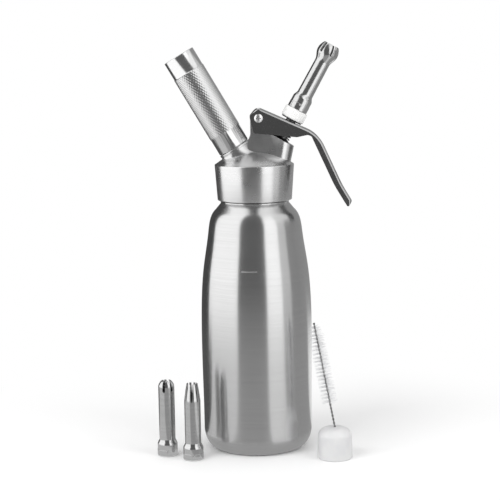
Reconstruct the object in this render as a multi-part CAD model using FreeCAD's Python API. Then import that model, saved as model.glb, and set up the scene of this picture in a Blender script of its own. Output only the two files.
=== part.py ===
import FreeCAD, Part
import math
import os

# A cream whipper: a steel bottle, a screw-on head with a tilted charger holder and a lever valve,
# three decorating nozzles, and a cleaning brush that stands in the charger thread's cap.
# Millimetres and degrees. The origin is the middle of the bottle's foot, +Z is up, and the
# charger holder leans to -X, the valve and the lever to +X.

Vector = FreeCAD.Vector

# ---- clearances --------------------------------------------------------------------------------
running_gap = 0.05        # a shaft or seal that slides in its bore
thread_gap = 0.4          # between the faces of two threads
loose_gap = 0.3           # between curved parts that only sit in each other
seal_gap = 0.05           # round a rubber part that lies in its seat

# ---- bottle ------------------------------------------------------------------------------------
bottle_radius = 48.6      # at the widest place
bottle_waist = 48.0       # just above the foot's round edge
foot_radius = 38.0        # where the foot meets the table
foot_round_height = 16.0
foot_ring_width = 3.0     # of the ring it stands on
foot_hollow_slope = 2.0
foot_hollow_depth = 3.0
bottle_wall = 1.2
mouth_height = 240.0
shoulder_start_drop = 78.0   # heights on the shoulder, down from the mouth
shoulder_mid_drop = 49.0
shoulder_end_drop = 28.0
shoulder_start_inset = 2.8   # radii on the shoulder, in from the bottle's widest
shoulder_mid_inset = 7.2
shoulder_end_inset = 14.3
neck_radius = 27.6
neck_band_step = 2.4      # plain band that shows under the head, out from the neck
neck_band_drop = 22.0
neck_band_height = 1.5
mouth_lip = 1.8           # how far the rolled lip stands in from the neck's bore
mouth_lip_height = 2.6

# ---- the thread between bottle and head --------------------------------------------------------
neck_thread_lead = 8.0
neck_thread_starts = 2
neck_thread_depth = 1.15  # of the ridge on the bottle
neck_thread_root = 1.8    # width of a ridge at its foot
neck_thread_crest = 0.9
neck_thread_drop = 18.0   # from the mouth down to where the ridges start
neck_thread_turns = 1.25
neck_groove_turns = 2.85  # of the head's thread, which runs out of the collar

# ---- head --------------------------------------------------------------------------------------
collar_drop = 19.8        # how far the collar reaches down past the bottle's mouth
collar_foot_chamfer = 0.8
collar_low_step = 4.9     # the collar's radii, out from the bottle's neck
collar_top_step = 7.0
crown_sphere_radius = 54.7
crown_thickness = 20.1    # from the head's ceiling to the top of the crown
crown_edge_round = 0.8
head_bore_overlap = 0.45  # how far the head's thread reaches past the bottle's ridge
gasket_thickness = 3.0
gasket_width = 6.0
gasket_recess_depth = 3.6
gasket_overhang = 0.9     # of the gasket past the bottle's neck

# ---- charger side: local Z runs along the charger, from where its axis meets the head's axis ---
charger_tilt = -30.3
charger_root_drop = 26.9  # from the crown's top down to where its axis meets the head's
boss_top = 34.0           # face under the holder
boss_radius = 14.3
boss_skirt_depth = 16.0
boss_skirt_step = 0.5     # the skirt stands in from the boss's side and starts below its face
boss_skirt_drop = 1.2
holder_gap = 0.6          # between the boss and the screwed-down holder
stub_length = 20.6        # of the threaded stub on the boss
stub_radius = 10.4
stub_thread_depth = 0.9
stub_thread_lead = 3.0
stub_thread_root = 1.5
stub_thread_crest = 0.7
stub_thread_turns = 4.0
stub_groove_turns = 7.0   # of the holder's thread, which runs out of its foot
stub_thread_start = 4.0   # from the boss's face
stub_recess_radius = 4.8  # takes the charger's neck
stub_recess_depth = 8.0
pin_body_radius = 3.1
pin_body_length = 7.0
pin_point_radius = 0.9
pin_point_length = 4.2
pin_way_radius = 0.35
pin_foot_gap = 0.3
gas_bore_radius = 1.4
gas_bore_start = 6.0
seal_thickness = 2.0
charger_length = 65.5
charger_radius = 8.9
charger_neck_radius = 3.7
charger_neck_length = 8.0
charger_wall = 1.4
charger_hole_radius = 1.1
holder_end_wall = 12.5    # beyond the charger's round end
holder_radius = 14.5
holder_low_radius = 14.1
holder_low_band = 15.0
holder_top_band = 16.5
holder_edge_round = 0.6
holder_foot_chamfer = 0.6
holder_band_rise = 0.4    # slope between the plain bands and the gripped one
check_recess_radius = 3.9
check_recess_depth = 3.8
check_flap_thickness = 1.4
check_ring_thickness = 2.0
check_ring_bore = 1.9
check_lift = 0.4          # room over the flap

# ---- valve side: local Z runs along the valve stem, local X down towards the handle ------------
valve_tilt = 29.0
valve_root_drop = 33.3    # from the crown's top down to where its axis meets the head's
turret_top = 48.8
turret_thickness = 20.8   # across the flats, and the round end's diameter
turret_top_run = 9.6      # flat on top, from the stem's axis towards the lug
lug_left = 7.2            # from the lever's pin to the block's upright edge
lug_shoulder = 150.0      # where the lug's round top ends, round the pin from +X
block_flare = 2.6         # how far the upright edge spreads at its foot
flare_foot = 6.0          # heights of the spread over the crown
flare_top = 14.0
block_sunk = 2.0          # how far the block's foot stays over the head's ceiling
block_lean = 12.2         # of the block's round end, from upright
block_end_reach = 1.8     # from the stem's axis to the round end's, at the turret's top
valve_seat = 22.0
valve_chamber_radius = 5.4
valve_chamber_length = 16.0
disc_recess_radius = 6.9
disc_recess_start = 5.0
stem_radius = 4.5
stem_bore_radius = 2.6
stem_low_radius = 3.2
stem_port_radius = 1.5
stem_port_rise = 11.0     # from the valve's seat
stem_in_adapter = 12.36
stem_flange_radius = 7.4
stem_flange_thickness = 2.0
stem_flange_half_width = 4.6
flange_gap = 0.3
disc_radius = 6.2
disc_thickness = 2.4
nut_across = 9.0
nut_thickness = 2.8
spindle_past_nut = 0.8
seal_bore_radius = 6.5
seal_drop = 6.74          # from the turret's top
seal_section = 0.95
bush_length = 4.4
bush_flange_radius = 7.7
bush_top_radius = 5.5
bush_flange_height = 1.6
spring_mean_radius = 6.4
spring_wire = 0.6
spring_turns = 4.0
spring_end_gap = 0.05
adapter_lift = 2.42887    # over the lever's web, where the stem passes it
adapter_radius = 10.25
adapter_height = 9.2
adapter_chamfer = 0.8
adapter_ribs = 36
adapter_rib_depth = 0.4
adapter_stub_length = 8.6
adapter_stub_radius = 5.9
adapter_thread_depth = 0.6
adapter_thread_lead = 2.0
adapter_thread_root = 1.0
adapter_thread_crest = 0.5
adapter_thread_turns = 2.5
adapter_thread_start = 2.4  # from the collar's top
adapter_mouth_radius = 3.6
washer_radius = 9.2
washer_thickness = 1.0

# ---- lever: local X along the web, local Z square to it, from the pin's axis -------------------
pivot_reach = 26.2        # from the pin to the stem's axis
pivot_over_turret = 7.0   # along the stem's axis
lever_slope = 24.2        # of the web, below level
lever_sheet = 1.5
lever_width = 24.4
web_rise = 8.0            # from the pin's axis to the web's top
ear_back = 7.6
ear_nose_drop = 2.0
ear_foot_back = 1.5
ear_foot_drop = 13.5
skirt_mid_reach = 16.0
skirt_mid_drop = 8.6
skirt_end_past_stem = 10.8
skirt_end_drop = 1.8
arch_start_past_stem = 18.6
arch_drop = 4.2           # from the web's top to the arch under the knee
knee_past_stem = 27.1
knee_radius = 27.9
knee_inner_radius = 5.0
handle_angle = 41.3       # of the handle, below the web
handle_length = 48.5      # from the knee's corner to where the tip's flare starts
handle_depth = 6.2
tip_angle = 35.0
tip_length = 16.5
tip_radius = 90.0
stem_slot_width = 9.8
stem_slot_back = 6.3      # from the stem's axis, where it crosses the web
stem_slot_front = 5.3
lug_gap = 0.5
pin_radius = 2.5
pin_head_radius = 3.7
pin_head_height = 1.3
pin_recess_radius = 2.2
pin_recess_depth = 0.7
pin_cross_width = 0.8
pin_cross_turn = 20.0
pin_head_round = 0.4
screw_radius = 1.4
screw_length = 9.0
screw_end_gap = 0.5
screw_slot_width = 0.9
screw_slot_depth = 0.6

# ---- nozzles: local Z from the bell's rim to the tip -------------------------------------------
nozzle_wall = 0.8
bell_radius = 8.9
bell_length = 10.0
bell_shoulder = 5.0
tube_radius = 7.0
insert_height = 9.4
insert_radius = 8.0
insert_groove_depth = 0.5
insert_groove_turns = 5.0
insert_start = 0.3        # the insert stands in from the bell's rim
bell_gap = 0.05           # between a screwed-on bell and the adapter
nozzle_length = 66.8      # of the two that stand on the table
tulip_length = 63.0
tulip_head_length = 17.4  # from where the tube starts to swell
tulip_widest_drop = 9.6   # from the tip down to the widest place
tulip_radius = 9.2
tulip_tip_radius = 6.7
tulip_slots = 6
tulip_slot_width = 2.9
tulip_slot_length = 9.6
tulip_slot_turn = 20.0
straight_slots = 6
straight_slot_width = 2.3
straight_slot_length = 9.8
straight_mouth_radius = 2.6
straight_slot_turn = -16.0
pointed_slots = 8
pointed_slot_length = 15.0
pointed_slot_top = 2.7
pointed_slot_bottom = 0.7
pointed_tip_radius = 6.1
pointed_slot_turn = -3.0
crimp_radius = 0.9
crimp_height = 4.9
straight_place = (-79.6, -31.0)
pointed_place = (-56.6, -44.5)

# ---- brush and cap -----------------------------------------------------------------------------
cap_place = (65.8, -46.5)
cap_radius = 15.0
cap_height = 27.0
cap_wall = 1.5
cap_crown_height = 6.0    # from where the side turns into the crown
cap_socket_radius = 2.9
cap_socket_depth = 11.0
brush_lean = -10.7
brush_length = 103.0
brush_in_cap = 9.8
wire_radius = 0.85
bristle_radius = 7.3
bristle_length = 69.0
bristle_tip_gap = 2.5
bristle_tip_radius = 4.2
bristle_tip_length = 9.0

# ---- sizes that follow from the ones above -----------------------------------------------------
widest_height = mouth_height / 2
shoulder_start_height = mouth_height - shoulder_start_drop
shoulder_mid_height = mouth_height - shoulder_mid_drop
shoulder_end_height = mouth_height - shoulder_end_drop
shoulder_start_radius = bottle_radius - shoulder_start_inset
shoulder_mid_radius = bottle_radius - shoulder_mid_inset
shoulder_end_radius = bottle_radius - shoulder_end_inset
foot_ring_radius = foot_radius - foot_ring_width
foot_hollow_radius = foot_ring_radius - foot_hollow_slope
neck_band_radius = neck_radius + neck_band_step
neck_band_start = mouth_height - neck_band_drop
neck_band_end = neck_band_start + neck_band_height
neck_thread_base = mouth_height - neck_thread_drop
collar_foot_height = mouth_height - collar_drop
collar_low_height = collar_foot_height + collar_foot_chamfer
collar_low_radius = neck_radius + collar_low_step
collar_foot_radius = collar_low_radius - collar_foot_chamfer
collar_top_radius = neck_radius + collar_top_step
bore_radius = neck_radius + neck_thread_depth - head_bore_overlap
groove_radius = neck_radius + neck_thread_depth + thread_gap
gasket_radius = neck_radius + gasket_overhang
gasket_inner_radius = gasket_radius - gasket_width
ceiling_height = mouth_height + gasket_thickness
crown_top_height = ceiling_height + crown_thickness
charger_origin_height = crown_top_height - charger_root_drop
valve_origin_height = crown_top_height - valve_root_drop
holder_foot = boss_top + holder_gap
stub_top = boss_top + stub_length
seal_seat = stub_top - stub_recess_depth
charger_foot = seal_seat + seal_thickness
charger_end = charger_foot + charger_length
holder_top = charger_end + holder_end_wall
holder_bore_radius = stub_radius + stub_thread_depth + loose_gap
lug_radius = web_rise - lever_sheet - lug_gap
pivot_height = turret_top + pivot_over_turret
valve_chamber_top = valve_seat + valve_chamber_length
stem_port_height = valve_seat + stem_port_rise
seal_bottom = turret_top - seal_drop
web_lean = math.radians(valve_tilt - lever_slope)
web_top = pivot_height + web_rise / math.cos(web_lean) + pivot_reach * math.tan(web_lean)
adapter_bottom = web_top + adapter_lift
stem_top = adapter_bottom + stem_in_adapter
adapter_top = adapter_bottom + adapter_height
tulip_tube_end = tulip_length - tulip_head_length
tulip_widest = tulip_length - tulip_widest_drop
cap_edge_height = cap_height - cap_crown_height
insert_bore_radius = adapter_stub_radius + adapter_thread_depth + loose_gap
insert_thread_radius = insert_bore_radius + insert_groove_depth


# ---- helpers -----------------------------------------------------------------------------------
def cylinder(radius, low, high):
    """A round bar along Z between two heights."""
    return Part.makeCylinder(radius, high - low, Vector(0, 0, low))


def ring(inner, outer, low, high):
    """A flat ring along Z between two heights."""
    return cylinder(outer, low, high).cut(cylinder(inner, low - 1, high + 1))


def turned(points):
    """A solid of revolution about Z from a closed outline of (radius, height) points."""
    corners = [Vector(r, 0, z) for r, z in points]
    outline = Part.makePolygon(corners + corners[:1])
    return Part.Face(outline).revolve(Vector(0, 0, 0), Vector(0, 0, 1), 360)


def turned_wire(wire):
    """A solid of revolution about Z from a closed wire in the XZ plane."""
    return Part.Face(wire).revolve(Vector(0, 0, 0), Vector(0, 0, 1), 360)


def curve(points, start, end):
    """A smooth edge in the XZ plane through (radius, height) points, with its two end directions."""
    spline = Part.BSplineCurve()
    places = [Vector(r, 0, z) for r, z in points]
    spline.interpolate(Points=places, InitialTangent=Vector(start[0], 0, start[1]),
                       FinalTangent=Vector(end[0], 0, end[1]))
    return spline.toShape()


def line(a, b):
    """A straight edge in the XZ plane between two (radius, height) points."""
    return Part.makeLine(Vector(a[0], 0, a[1]), Vector(b[0], 0, b[1]))


def leaned(shape, tilt, height=0.0):
    """A part made along Z, leaned in the XZ plane and stood on the head's axis at a height."""
    shape = shape.copy()
    shape.rotate(Vector(0, 0, 0), Vector(0, 1, 0), tilt)
    shape.translate(Vector(0, 0, height))
    return shape


def on_charger_axis(shape):
    return leaned(shape, charger_tilt, charger_origin_height)


def on_valve_axis(shape):
    return leaned(shape, valve_tilt, valve_origin_height)


def on_lever_pin(shape):
    """From the lever's own frame, whose X lies along the web, to the bottle's."""
    shape = shape.copy()
    shape.rotate(Vector(0, 0, 0), Vector(0, 1, 0), lever_slope)
    shape.translate(pin_place())
    return shape


def pin_place():
    """The lever pin's axis in the bottle's frame."""
    tilt = math.radians(valve_tilt)
    along, across = pivot_height, -pivot_reach
    x = across * math.cos(tilt) + along * math.sin(tilt)
    z = along * math.cos(tilt) - across * math.sin(tilt)
    return Vector(x, 0, z + valve_origin_height)


def web_underside(across):
    """Height of the web's underside along the stem's axis, at a place across it."""
    sheet_under = (web_rise - lever_sheet) / math.cos(web_lean)
    return pivot_height + sheet_under + (across + pivot_reach) * math.tan(web_lean)


def rounded_outline(corners):
    """A closed wire in the XZ plane from (x, z, corner radius), each corner an arc between straights."""
    edges = []
    cuts = []
    count = len(corners)
    for i in range(count):
        x, z, radius = corners[i]
        here = Vector(x, 0, z)
        back = Vector(corners[i - 1][0], 0, corners[i - 1][1]) - here
        ahead = Vector(corners[(i + 1) % count][0], 0, corners[(i + 1) % count][1]) - here
        back.normalize()
        ahead.normalize()
        half = back.getAngle(ahead) / 2
        reach = radius / math.tan(half)
        middle = (back + ahead).normalize()
        deep = here + middle * (radius / math.sin(half) - radius)
        cuts.append((here + back * reach, deep, here + ahead * reach, radius))
    for i in range(count):
        first, deep, last, radius = cuts[i]
        if radius > 0:
            edges.append(Part.Arc(first, deep, last).toShape())
        following = cuts[(i + 1) % count][0]
        if (following - last).Length > 1e-6:
            edges.append(Part.makeLine(last, following))
    return Part.Wire(edges)


def across_y(wire, half_width):
    """A solid from a wire in the XZ plane, as wide to the front as to the back."""
    solid = Part.Face(wire).extrude(Vector(0, 2 * half_width, 0))
    solid.translate(Vector(0, -half_width, 0))
    return solid


def thread(base_radius, depth, root, crest, lead, low, turns, start=0.0):
    """A helical ridge about Z. It stands out by depth from the base radius, or in if depth is below 0."""
    sunk = 0.25 if depth > 0 else -0.25
    foot = base_radius - sunk
    wire = Part.makeHelix(lead, lead * turns, foot)
    half_root = root / 2 + abs(sunk) * (root - crest) / 2 / abs(depth)
    profile = Part.makePolygon([
        Vector(foot, 0, -half_root), Vector(base_radius + depth, 0, -crest / 2),
        Vector(base_radius + depth, 0, crest / 2), Vector(foot, 0, half_root),
        Vector(foot, 0, -half_root)])
    ridge = Part.Wire(wire.Edges).makePipeShell([profile], True, True)
    ridge.translate(Vector(0, 0, low))
    ridge.rotate(Vector(0, 0, 0), Vector(0, 0, 1), start)
    return ridge


def hex_bar(across_flats, low, high):
    """A hexagonal bar along Z."""
    corner = across_flats / math.sqrt(3)
    points = [Vector(corner * math.cos(math.radians(a)), corner * math.sin(math.radians(a)), low)
              for a in range(0, 360, 60)]
    return Part.Face(Part.makePolygon(points + points[:1])).extrude(Vector(0, 0, high - low))


def fused(first, others):
    """One clean solid from several that overlap."""
    return first.fuse(others).removeSplitter()


# ---- bottle ------------------------------------------------------------------------------------
def bottle_outline(inset):
    """The bottle's profile from the foot to the neck's band, moved in by a wall thickness."""
    body = curve(
        [(bottle_waist - inset, foot_round_height),
         (bottle_radius - inset, widest_height),
         (shoulder_start_radius - inset, shoulder_start_height),
         (shoulder_mid_radius - inset * 0.97, shoulder_mid_height - inset * 0.2),
         (shoulder_end_radius - inset * 0.85, shoulder_end_height - inset * 0.5)],
        (0.0, 1.0), (-0.75, 0.66))
    foot = curve([(foot_radius - inset, inset), (bottle_waist - inset, foot_round_height)],
                 (1.4, 0.0), (0.0, 1.7))
    return foot, body


def make_bottle():
    foot, body = bottle_outline(0.0)
    shoulder_top = (shoulder_end_radius, shoulder_end_height)
    band_foot = (neck_band_radius, neck_band_start)
    hollow = (foot_hollow_radius, foot_hollow_depth)
    outer = Part.Wire([
        line((0, foot_hollow_depth), hollow), line(hollow, (foot_ring_radius, 0.0)),
        line((foot_ring_radius, 0.0), (foot_radius, 0.0)), foot, body,
        line(shoulder_top, band_foot), line(band_foot, (neck_band_radius, neck_band_end)),
        line((neck_band_radius, neck_band_end), (neck_radius, neck_band_end)),
        line((neck_radius, neck_band_end), (neck_radius, mouth_height)),
        line((neck_radius, mouth_height), (0, mouth_height)),
        line((0, mouth_height), (0, foot_hollow_depth))])
    foot, body = bottle_outline(bottle_wall)
    inside_shoulder = (body.Vertexes[-1].X, body.Vertexes[-1].Z)
    neck_bore = neck_radius - bottle_wall
    neck_foot = (neck_bore, neck_band_start - bottle_wall)
    floor_edge = (foot_hollow_radius, foot_hollow_depth + bottle_wall)
    foot_start = (foot_radius - bottle_wall, bottle_wall)
    inner = Part.Wire([
        line((0, floor_edge[1]), floor_edge), line(floor_edge, foot_start), foot, body,
        line(inside_shoulder, neck_foot), line(neck_foot, (neck_bore, mouth_height + 1)),
        line((neck_bore, mouth_height + 1), (0, mouth_height + 1)),
        line((0, mouth_height + 1), (0, floor_edge[1]))])
    shell = turned_wire(outer).cut(turned_wire(inner))
    lip_radius = neck_bore - mouth_lip
    lip_foot = mouth_height - mouth_lip_height
    lip = turned([(neck_bore + bottle_wall / 2, mouth_height), (lip_radius, mouth_height),
                  (lip_radius, lip_foot + mouth_lip), (neck_bore, lip_foot),
                  (neck_bore + bottle_wall / 2, lip_foot)])
    ridges = [thread(neck_radius, neck_thread_depth, neck_thread_root, neck_thread_crest,
                     neck_thread_lead, neck_thread_base, neck_thread_turns,
                     i * 360.0 / neck_thread_starts)
              for i in range(neck_thread_starts)]
    return fused(shell, [lip] + ridges)


def make_head_gasket():
    return ring(gasket_inner_radius, gasket_radius, mouth_height, ceiling_height)


# ---- head --------------------------------------------------------------------------------------
def crown_height(radius):
    """Height of the head's domed crown at a distance from the head's axis."""
    low = crown_top_height - crown_sphere_radius
    return low + math.sqrt(crown_sphere_radius ** 2 - radius ** 2)


def make_collar():
    """The head's turned part: the collar with its domed crown, still solid."""
    edge = crown_height(collar_top_radius) - crown_edge_round
    shelf = collar_top_radius - crown_edge_round
    middle = collar_top_radius / 2
    dome = Part.Arc(Vector(shelf, 0, crown_height(shelf)), Vector(middle, 0, crown_height(middle)),
                    Vector(0, 0, crown_top_height)).toShape()
    wire = Part.Wire([
        line((0, collar_foot_height), (collar_foot_radius, collar_foot_height)),
        line((collar_foot_radius, collar_foot_height), (collar_low_radius, collar_low_height)),
        line((collar_low_radius, collar_low_height), (collar_top_radius, edge)),
        line((collar_top_radius, edge), (shelf, crown_height(shelf))), dome,
        line((0, crown_top_height), (0, collar_foot_height))])
    return turned_wire(wire)


def make_boss():
    """The charger holder's boss with its threaded stub, and the skirt that ties it to the crown."""
    barrel = on_charger_axis(cylinder(boss_radius, 0.0, boss_top))
    rim = Part.makeCircle(boss_radius - boss_skirt_step, Vector(0, 0, boss_top - boss_skirt_drop))
    skirt = Part.Face(Part.Wire(on_charger_axis(rim))).extrude(Vector(0, 0, -boss_skirt_depth))
    stub = cylinder(stub_radius, boss_top - 1, stub_top)
    ridge = thread(stub_radius, stub_thread_depth, stub_thread_root, stub_thread_crest,
                   stub_thread_lead, boss_top + stub_thread_start, stub_thread_turns)
    return [barrel, skirt, on_charger_axis(stub.fuse(ridge))]


def make_valve_block():
    """The flat-sided block with a round end about the stem, and the lug for the lever's pin."""
    half = turret_thickness / 2
    pin = pin_place()
    to_local = math.radians(valve_tilt)

    def local_to_world(across, along):
        x = across * math.cos(to_local) + along * math.sin(to_local)
        z = along * math.cos(to_local) - across * math.sin(to_local)
        return x, z + valve_origin_height

    stop = (-turret_top_run, turret_top)
    to_stop = (stop[0] + pivot_reach, stop[1] - pivot_height)
    away = math.hypot(*to_stop)
    bearing = math.atan2(to_stop[1], to_stop[0]) + math.acos(lug_radius / away)
    touch = (-pivot_reach + lug_radius * math.cos(bearing), pivot_height + lug_radius * math.sin(bearing))
    touch_x, touch_z = local_to_world(*touch)
    stop_x, stop_z = local_to_world(*stop)
    end_x, end_z = local_to_world(block_end_reach, turret_top)
    left = pin.x - lug_left
    foot_z = ceiling_height + block_sunk
    flare_z = crown_top_height + flare_top
    over = math.radians(lug_shoulder)
    arc = Part.Arc(Vector(pin.x + lug_radius * math.cos(over), 0, pin.z + lug_radius * math.sin(over)),
                   Vector(pin.x, 0, pin.z + lug_radius), Vector(touch_x, 0, touch_z)).toShape()
    shoulder = (arc.Vertexes[0].X, arc.Vertexes[0].Z)
    low_x = end_x - (end_z - foot_z) * math.tan(math.radians(block_lean))
    wire = Part.Wire([
        arc, line((touch_x, touch_z), (stop_x, stop_z)), line((stop_x, stop_z), (end_x, end_z)),
        line((end_x, end_z), (low_x, foot_z)), line((low_x, foot_z), (left - block_flare, foot_z)),
        line((left - block_flare, foot_z), (left - block_flare, crown_top_height + flare_foot)),
        line((left - block_flare, crown_top_height + flare_foot), (left, flare_z)),
        line((left, flare_z), (left, pin.z)), line((left, pin.z), shoulder)])
    flat_part = across_y(wire, half)
    round_end = cylinder(half, -turret_top, 2 * turret_top)
    round_end.rotate(Vector(0, 0, 0), Vector(0, 1, 0), block_lean)
    round_end.translate(Vector(low_x, 0, foot_z))
    under_top = on_valve_axis(cylinder(2 * turret_top, -turret_top, turret_top))
    over_foot = cylinder(2 * turret_top, foot_z, foot_z + 2 * turret_top)
    return [flat_part, round_end.common(under_top).common(over_foot)]


def make_head():
    solid = fused(make_collar(), make_boss() + make_valve_block())
    low = collar_foot_height - 1
    bore = cylinder(bore_radius, low, ceiling_height - gasket_recess_depth)
    recess = cylinder(gasket_radius + loose_gap, ceiling_height - gasket_recess_depth, ceiling_height)
    grooves = [thread(bore_radius, groove_radius - bore_radius, neck_thread_root + 2 * thread_gap,
                      neck_thread_crest + 2 * thread_gap, neck_thread_lead,
                      neck_thread_base - neck_thread_lead, neck_groove_turns,
                      i * 360.0 / neck_thread_starts)
               for i in range(neck_thread_starts)]
    gas_way = on_charger_axis(cylinder(gas_bore_radius, gas_bore_start, stub_top + 1))
    pin_bore = on_charger_axis(
        cylinder(pin_body_radius + seal_gap, seal_seat - pin_body_length, stub_top + 1))
    neck_recess = on_charger_axis(cylinder(stub_recess_radius, seal_seat, stub_top + 1))
    x, z = check_place()
    check_recess = Part.makeCylinder(check_recess_radius + seal_gap, check_recess_depth + 4,
                                     Vector(x, 0, z - 4))
    stem_bore = cylinder(stem_radius + running_gap, valve_seat, turret_top + 1)
    chamber = cylinder(valve_chamber_radius, valve_seat - 1, valve_chamber_top)
    seal_bore = cylinder(seal_bore_radius + seal_gap, seal_bottom, turret_top + 1)
    disc_recess = cylinder(disc_recess_radius, disc_recess_start, valve_seat)
    lever_bore = Part.makeCylinder(pin_radius + running_gap, 2 * turret_thickness,
                                   pin_place() - Vector(0, turret_thickness, 0), Vector(0, 1, 0))
    cuts = [bore, recess, gas_way, pin_bore, neck_recess, check_recess, lever_bore]
    cuts += grooves
    cuts += [on_valve_axis(s) for s in (stem_bore, chamber, seal_bore, disc_recess)]
    return solid.cut(cuts).removeSplitter()


def check_place():
    """Where the charger's axis comes out of the head's ceiling."""
    drop = ceiling_height - charger_origin_height
    return drop * math.tan(math.radians(charger_tilt)), ceiling_height


# ---- charger side ------------------------------------------------------------------------------
def make_piercing_pin():
    body = cylinder(pin_body_radius, seal_seat - pin_body_length + pin_foot_gap, seal_seat)
    point = Part.makeCone(pin_point_radius, pin_point_radius * 0.45, pin_point_length,
                          Vector(0, 0, seal_seat - 0.5))
    way = cylinder(pin_way_radius, seal_seat - pin_body_length - 1, seal_seat + pin_point_length)
    return on_charger_axis(fused(body, [point]).cut(way))


def make_charger_seal():
    return on_charger_axis(ring(pin_point_radius + loose_gap, stub_recess_radius - seal_gap,
                                seal_seat, charger_foot))


def charger_outline(inset):
    """Half of the bulb's profile, moved in by a wall thickness."""
    neck = charger_neck_radius - inset
    body = charger_radius - inset
    neck_end = charger_foot + charger_neck_length
    round_start = charger_end - charger_radius
    slope_end = neck_end + (charger_radius - charger_neck_radius) * 1.2
    middle = math.sqrt(0.5)
    cap = Part.Arc(Vector(body, 0, round_start),
                   Vector(body * middle, 0, round_start + body * middle),
                   Vector(0, 0, round_start + body)).toShape()
    return Part.Wire([
        line((0, charger_foot + inset), (neck, charger_foot + inset)),
        line((neck, charger_foot + inset), (neck, neck_end)),
        line((neck, neck_end), (body, slope_end)), line((body, slope_end), (body, round_start)),
        cap, line((0, round_start + body), (0, charger_foot + inset))])


def make_gas_charger():
    shell = turned_wire(charger_outline(0.0)).cut(turned_wire(charger_outline(charger_wall)))
    hole = cylinder(charger_hole_radius, charger_foot - 1, charger_foot + charger_wall + 1)
    return on_charger_axis(shell.cut(hole))


def make_charger_holder():
    foot = holder_foot
    top = holder_top
    body = turned([(0, foot), (holder_low_radius - holder_foot_chamfer, foot),
                   (holder_low_radius, foot + holder_foot_chamfer),
                   (holder_low_radius, foot + holder_low_band),
                   (holder_radius, foot + holder_low_band + holder_band_rise),
                   (holder_radius, top - holder_top_band),
                   (holder_low_radius, top - holder_top_band + holder_band_rise),
                   (holder_low_radius, top - holder_edge_round),
                   (holder_low_radius - holder_edge_round, top - 0.25), (0, top)])
    thread_end = foot + stub_length + holder_gap
    thread_bore = cylinder(holder_bore_radius, foot - 1, thread_end)
    inset_end = charger_end + loose_gap
    bore = charger_radius + loose_gap
    charger_bore = cylinder(bore, foot, inset_end - charger_radius)
    seat = Part.makeSphere(bore, Vector(0, 0, inset_end - charger_radius - loose_gap))
    groove = thread(holder_bore_radius, stub_thread_depth, stub_thread_root + 2 * thread_gap,
                    stub_thread_crest + 2 * thread_gap, stub_thread_lead,
                    boss_top + stub_thread_start - 2 * stub_thread_lead, stub_groove_turns)
    return on_charger_axis(body.cut([thread_bore, charger_bore, seat, groove]).removeSplitter())


def make_check_flap():
    x, z = check_place()
    top = z + check_recess_depth - check_lift
    return Part.makeCylinder(check_recess_radius, check_flap_thickness,
                             Vector(x, 0, top - check_flap_thickness))


def make_check_ring():
    x, z = check_place()
    top = z + check_recess_depth - check_lift - check_flap_thickness
    bar = Part.makeCylinder(check_recess_radius, check_ring_thickness,
                            Vector(x, 0, top - check_ring_thickness))
    hole = Part.makeCylinder(check_ring_bore, 2 * check_ring_thickness,
                             Vector(x, 0, top - 1.5 * check_ring_thickness))
    return bar.cut(hole)


# ---- valve side --------------------------------------------------------------------------------
def flange_top():
    """The driving flange lies just under the lowest part of the web above it."""
    return web_underside(-stem_flange_half_width) - flange_gap


def disc_foot():
    return valve_seat - disc_thickness


def make_valve_stem():
    low = disc_foot() - nut_thickness - spindle_past_nut
    spindle = cylinder(stem_low_radius, low, valve_chamber_top - 1)
    tube = cylinder(stem_radius, valve_chamber_top - 1.5, stem_top)
    flange = cylinder(stem_flange_radius, flange_top() - stem_flange_thickness, flange_top())
    flat = Part.makeBox(2 * stem_flange_half_width, 4 * stem_flange_radius, 4 * stem_flange_thickness,
                        Vector(-stem_flange_half_width, -2 * stem_flange_radius,
                               flange_top() - 3 * stem_flange_thickness))
    bore = cylinder(stem_bore_radius, stem_port_height - stem_port_radius, stem_top + 1)
    port = Part.makeCylinder(stem_port_radius, 4 * stem_radius,
                             Vector(0, -2 * stem_radius, stem_port_height), Vector(0, 1, 0))
    return on_valve_axis(fused(spindle, [tube, flange.common(flat)]).cut([bore, port]))


def make_valve_disc():
    return on_valve_axis(ring(stem_low_radius, disc_radius, disc_foot(), valve_seat))


def make_valve_nut():
    low = disc_foot() - nut_thickness
    nut = hex_bar(nut_across, low, disc_foot()).cut(cylinder(stem_low_radius, low - 1, disc_foot() + 1))
    return on_valve_axis(nut)


def make_stem_seal():
    inner = stem_radius + running_gap
    middle = (inner + seal_bore_radius) / 2
    seal = Part.makeTorus(middle, seal_section, Vector(0, 0, seal_bottom + seal_section))
    return on_valve_axis(seal)


def make_guide_bush():
    top = turret_top
    body = cylinder(seal_bore_radius, top - bush_length, top + 0.01)
    cone = Part.makeCone(bush_flange_radius, bush_top_radius, bush_flange_height, Vector(0, 0, top))
    bore = cylinder(stem_radius + running_gap, top - bush_length - 1, top + bush_flange_height + 1)
    return on_valve_axis(fused(body, [cone]).cut(bore))


def make_valve_spring():
    low = turret_top + bush_flange_height + spring_wire + spring_end_gap
    high = flange_top() - stem_flange_thickness - spring_wire - spring_end_gap
    rise = (high - low) / spring_turns
    helix = Part.makeHelix(rise, high - low, spring_mean_radius)
    section = Part.Wire(Part.makeCircle(spring_wire, Vector(spring_mean_radius, 0, 0), Vector(0, 1, 0)))
    coil = Part.Wire(helix.Edges).makePipeShell([section], True, True)
    coil.translate(Vector(0, 0, low))
    return on_valve_axis(coil)


def make_adapter_washer():
    return on_valve_axis(ring(stem_radius, washer_radius, adapter_bottom - washer_thickness, adapter_bottom))


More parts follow.
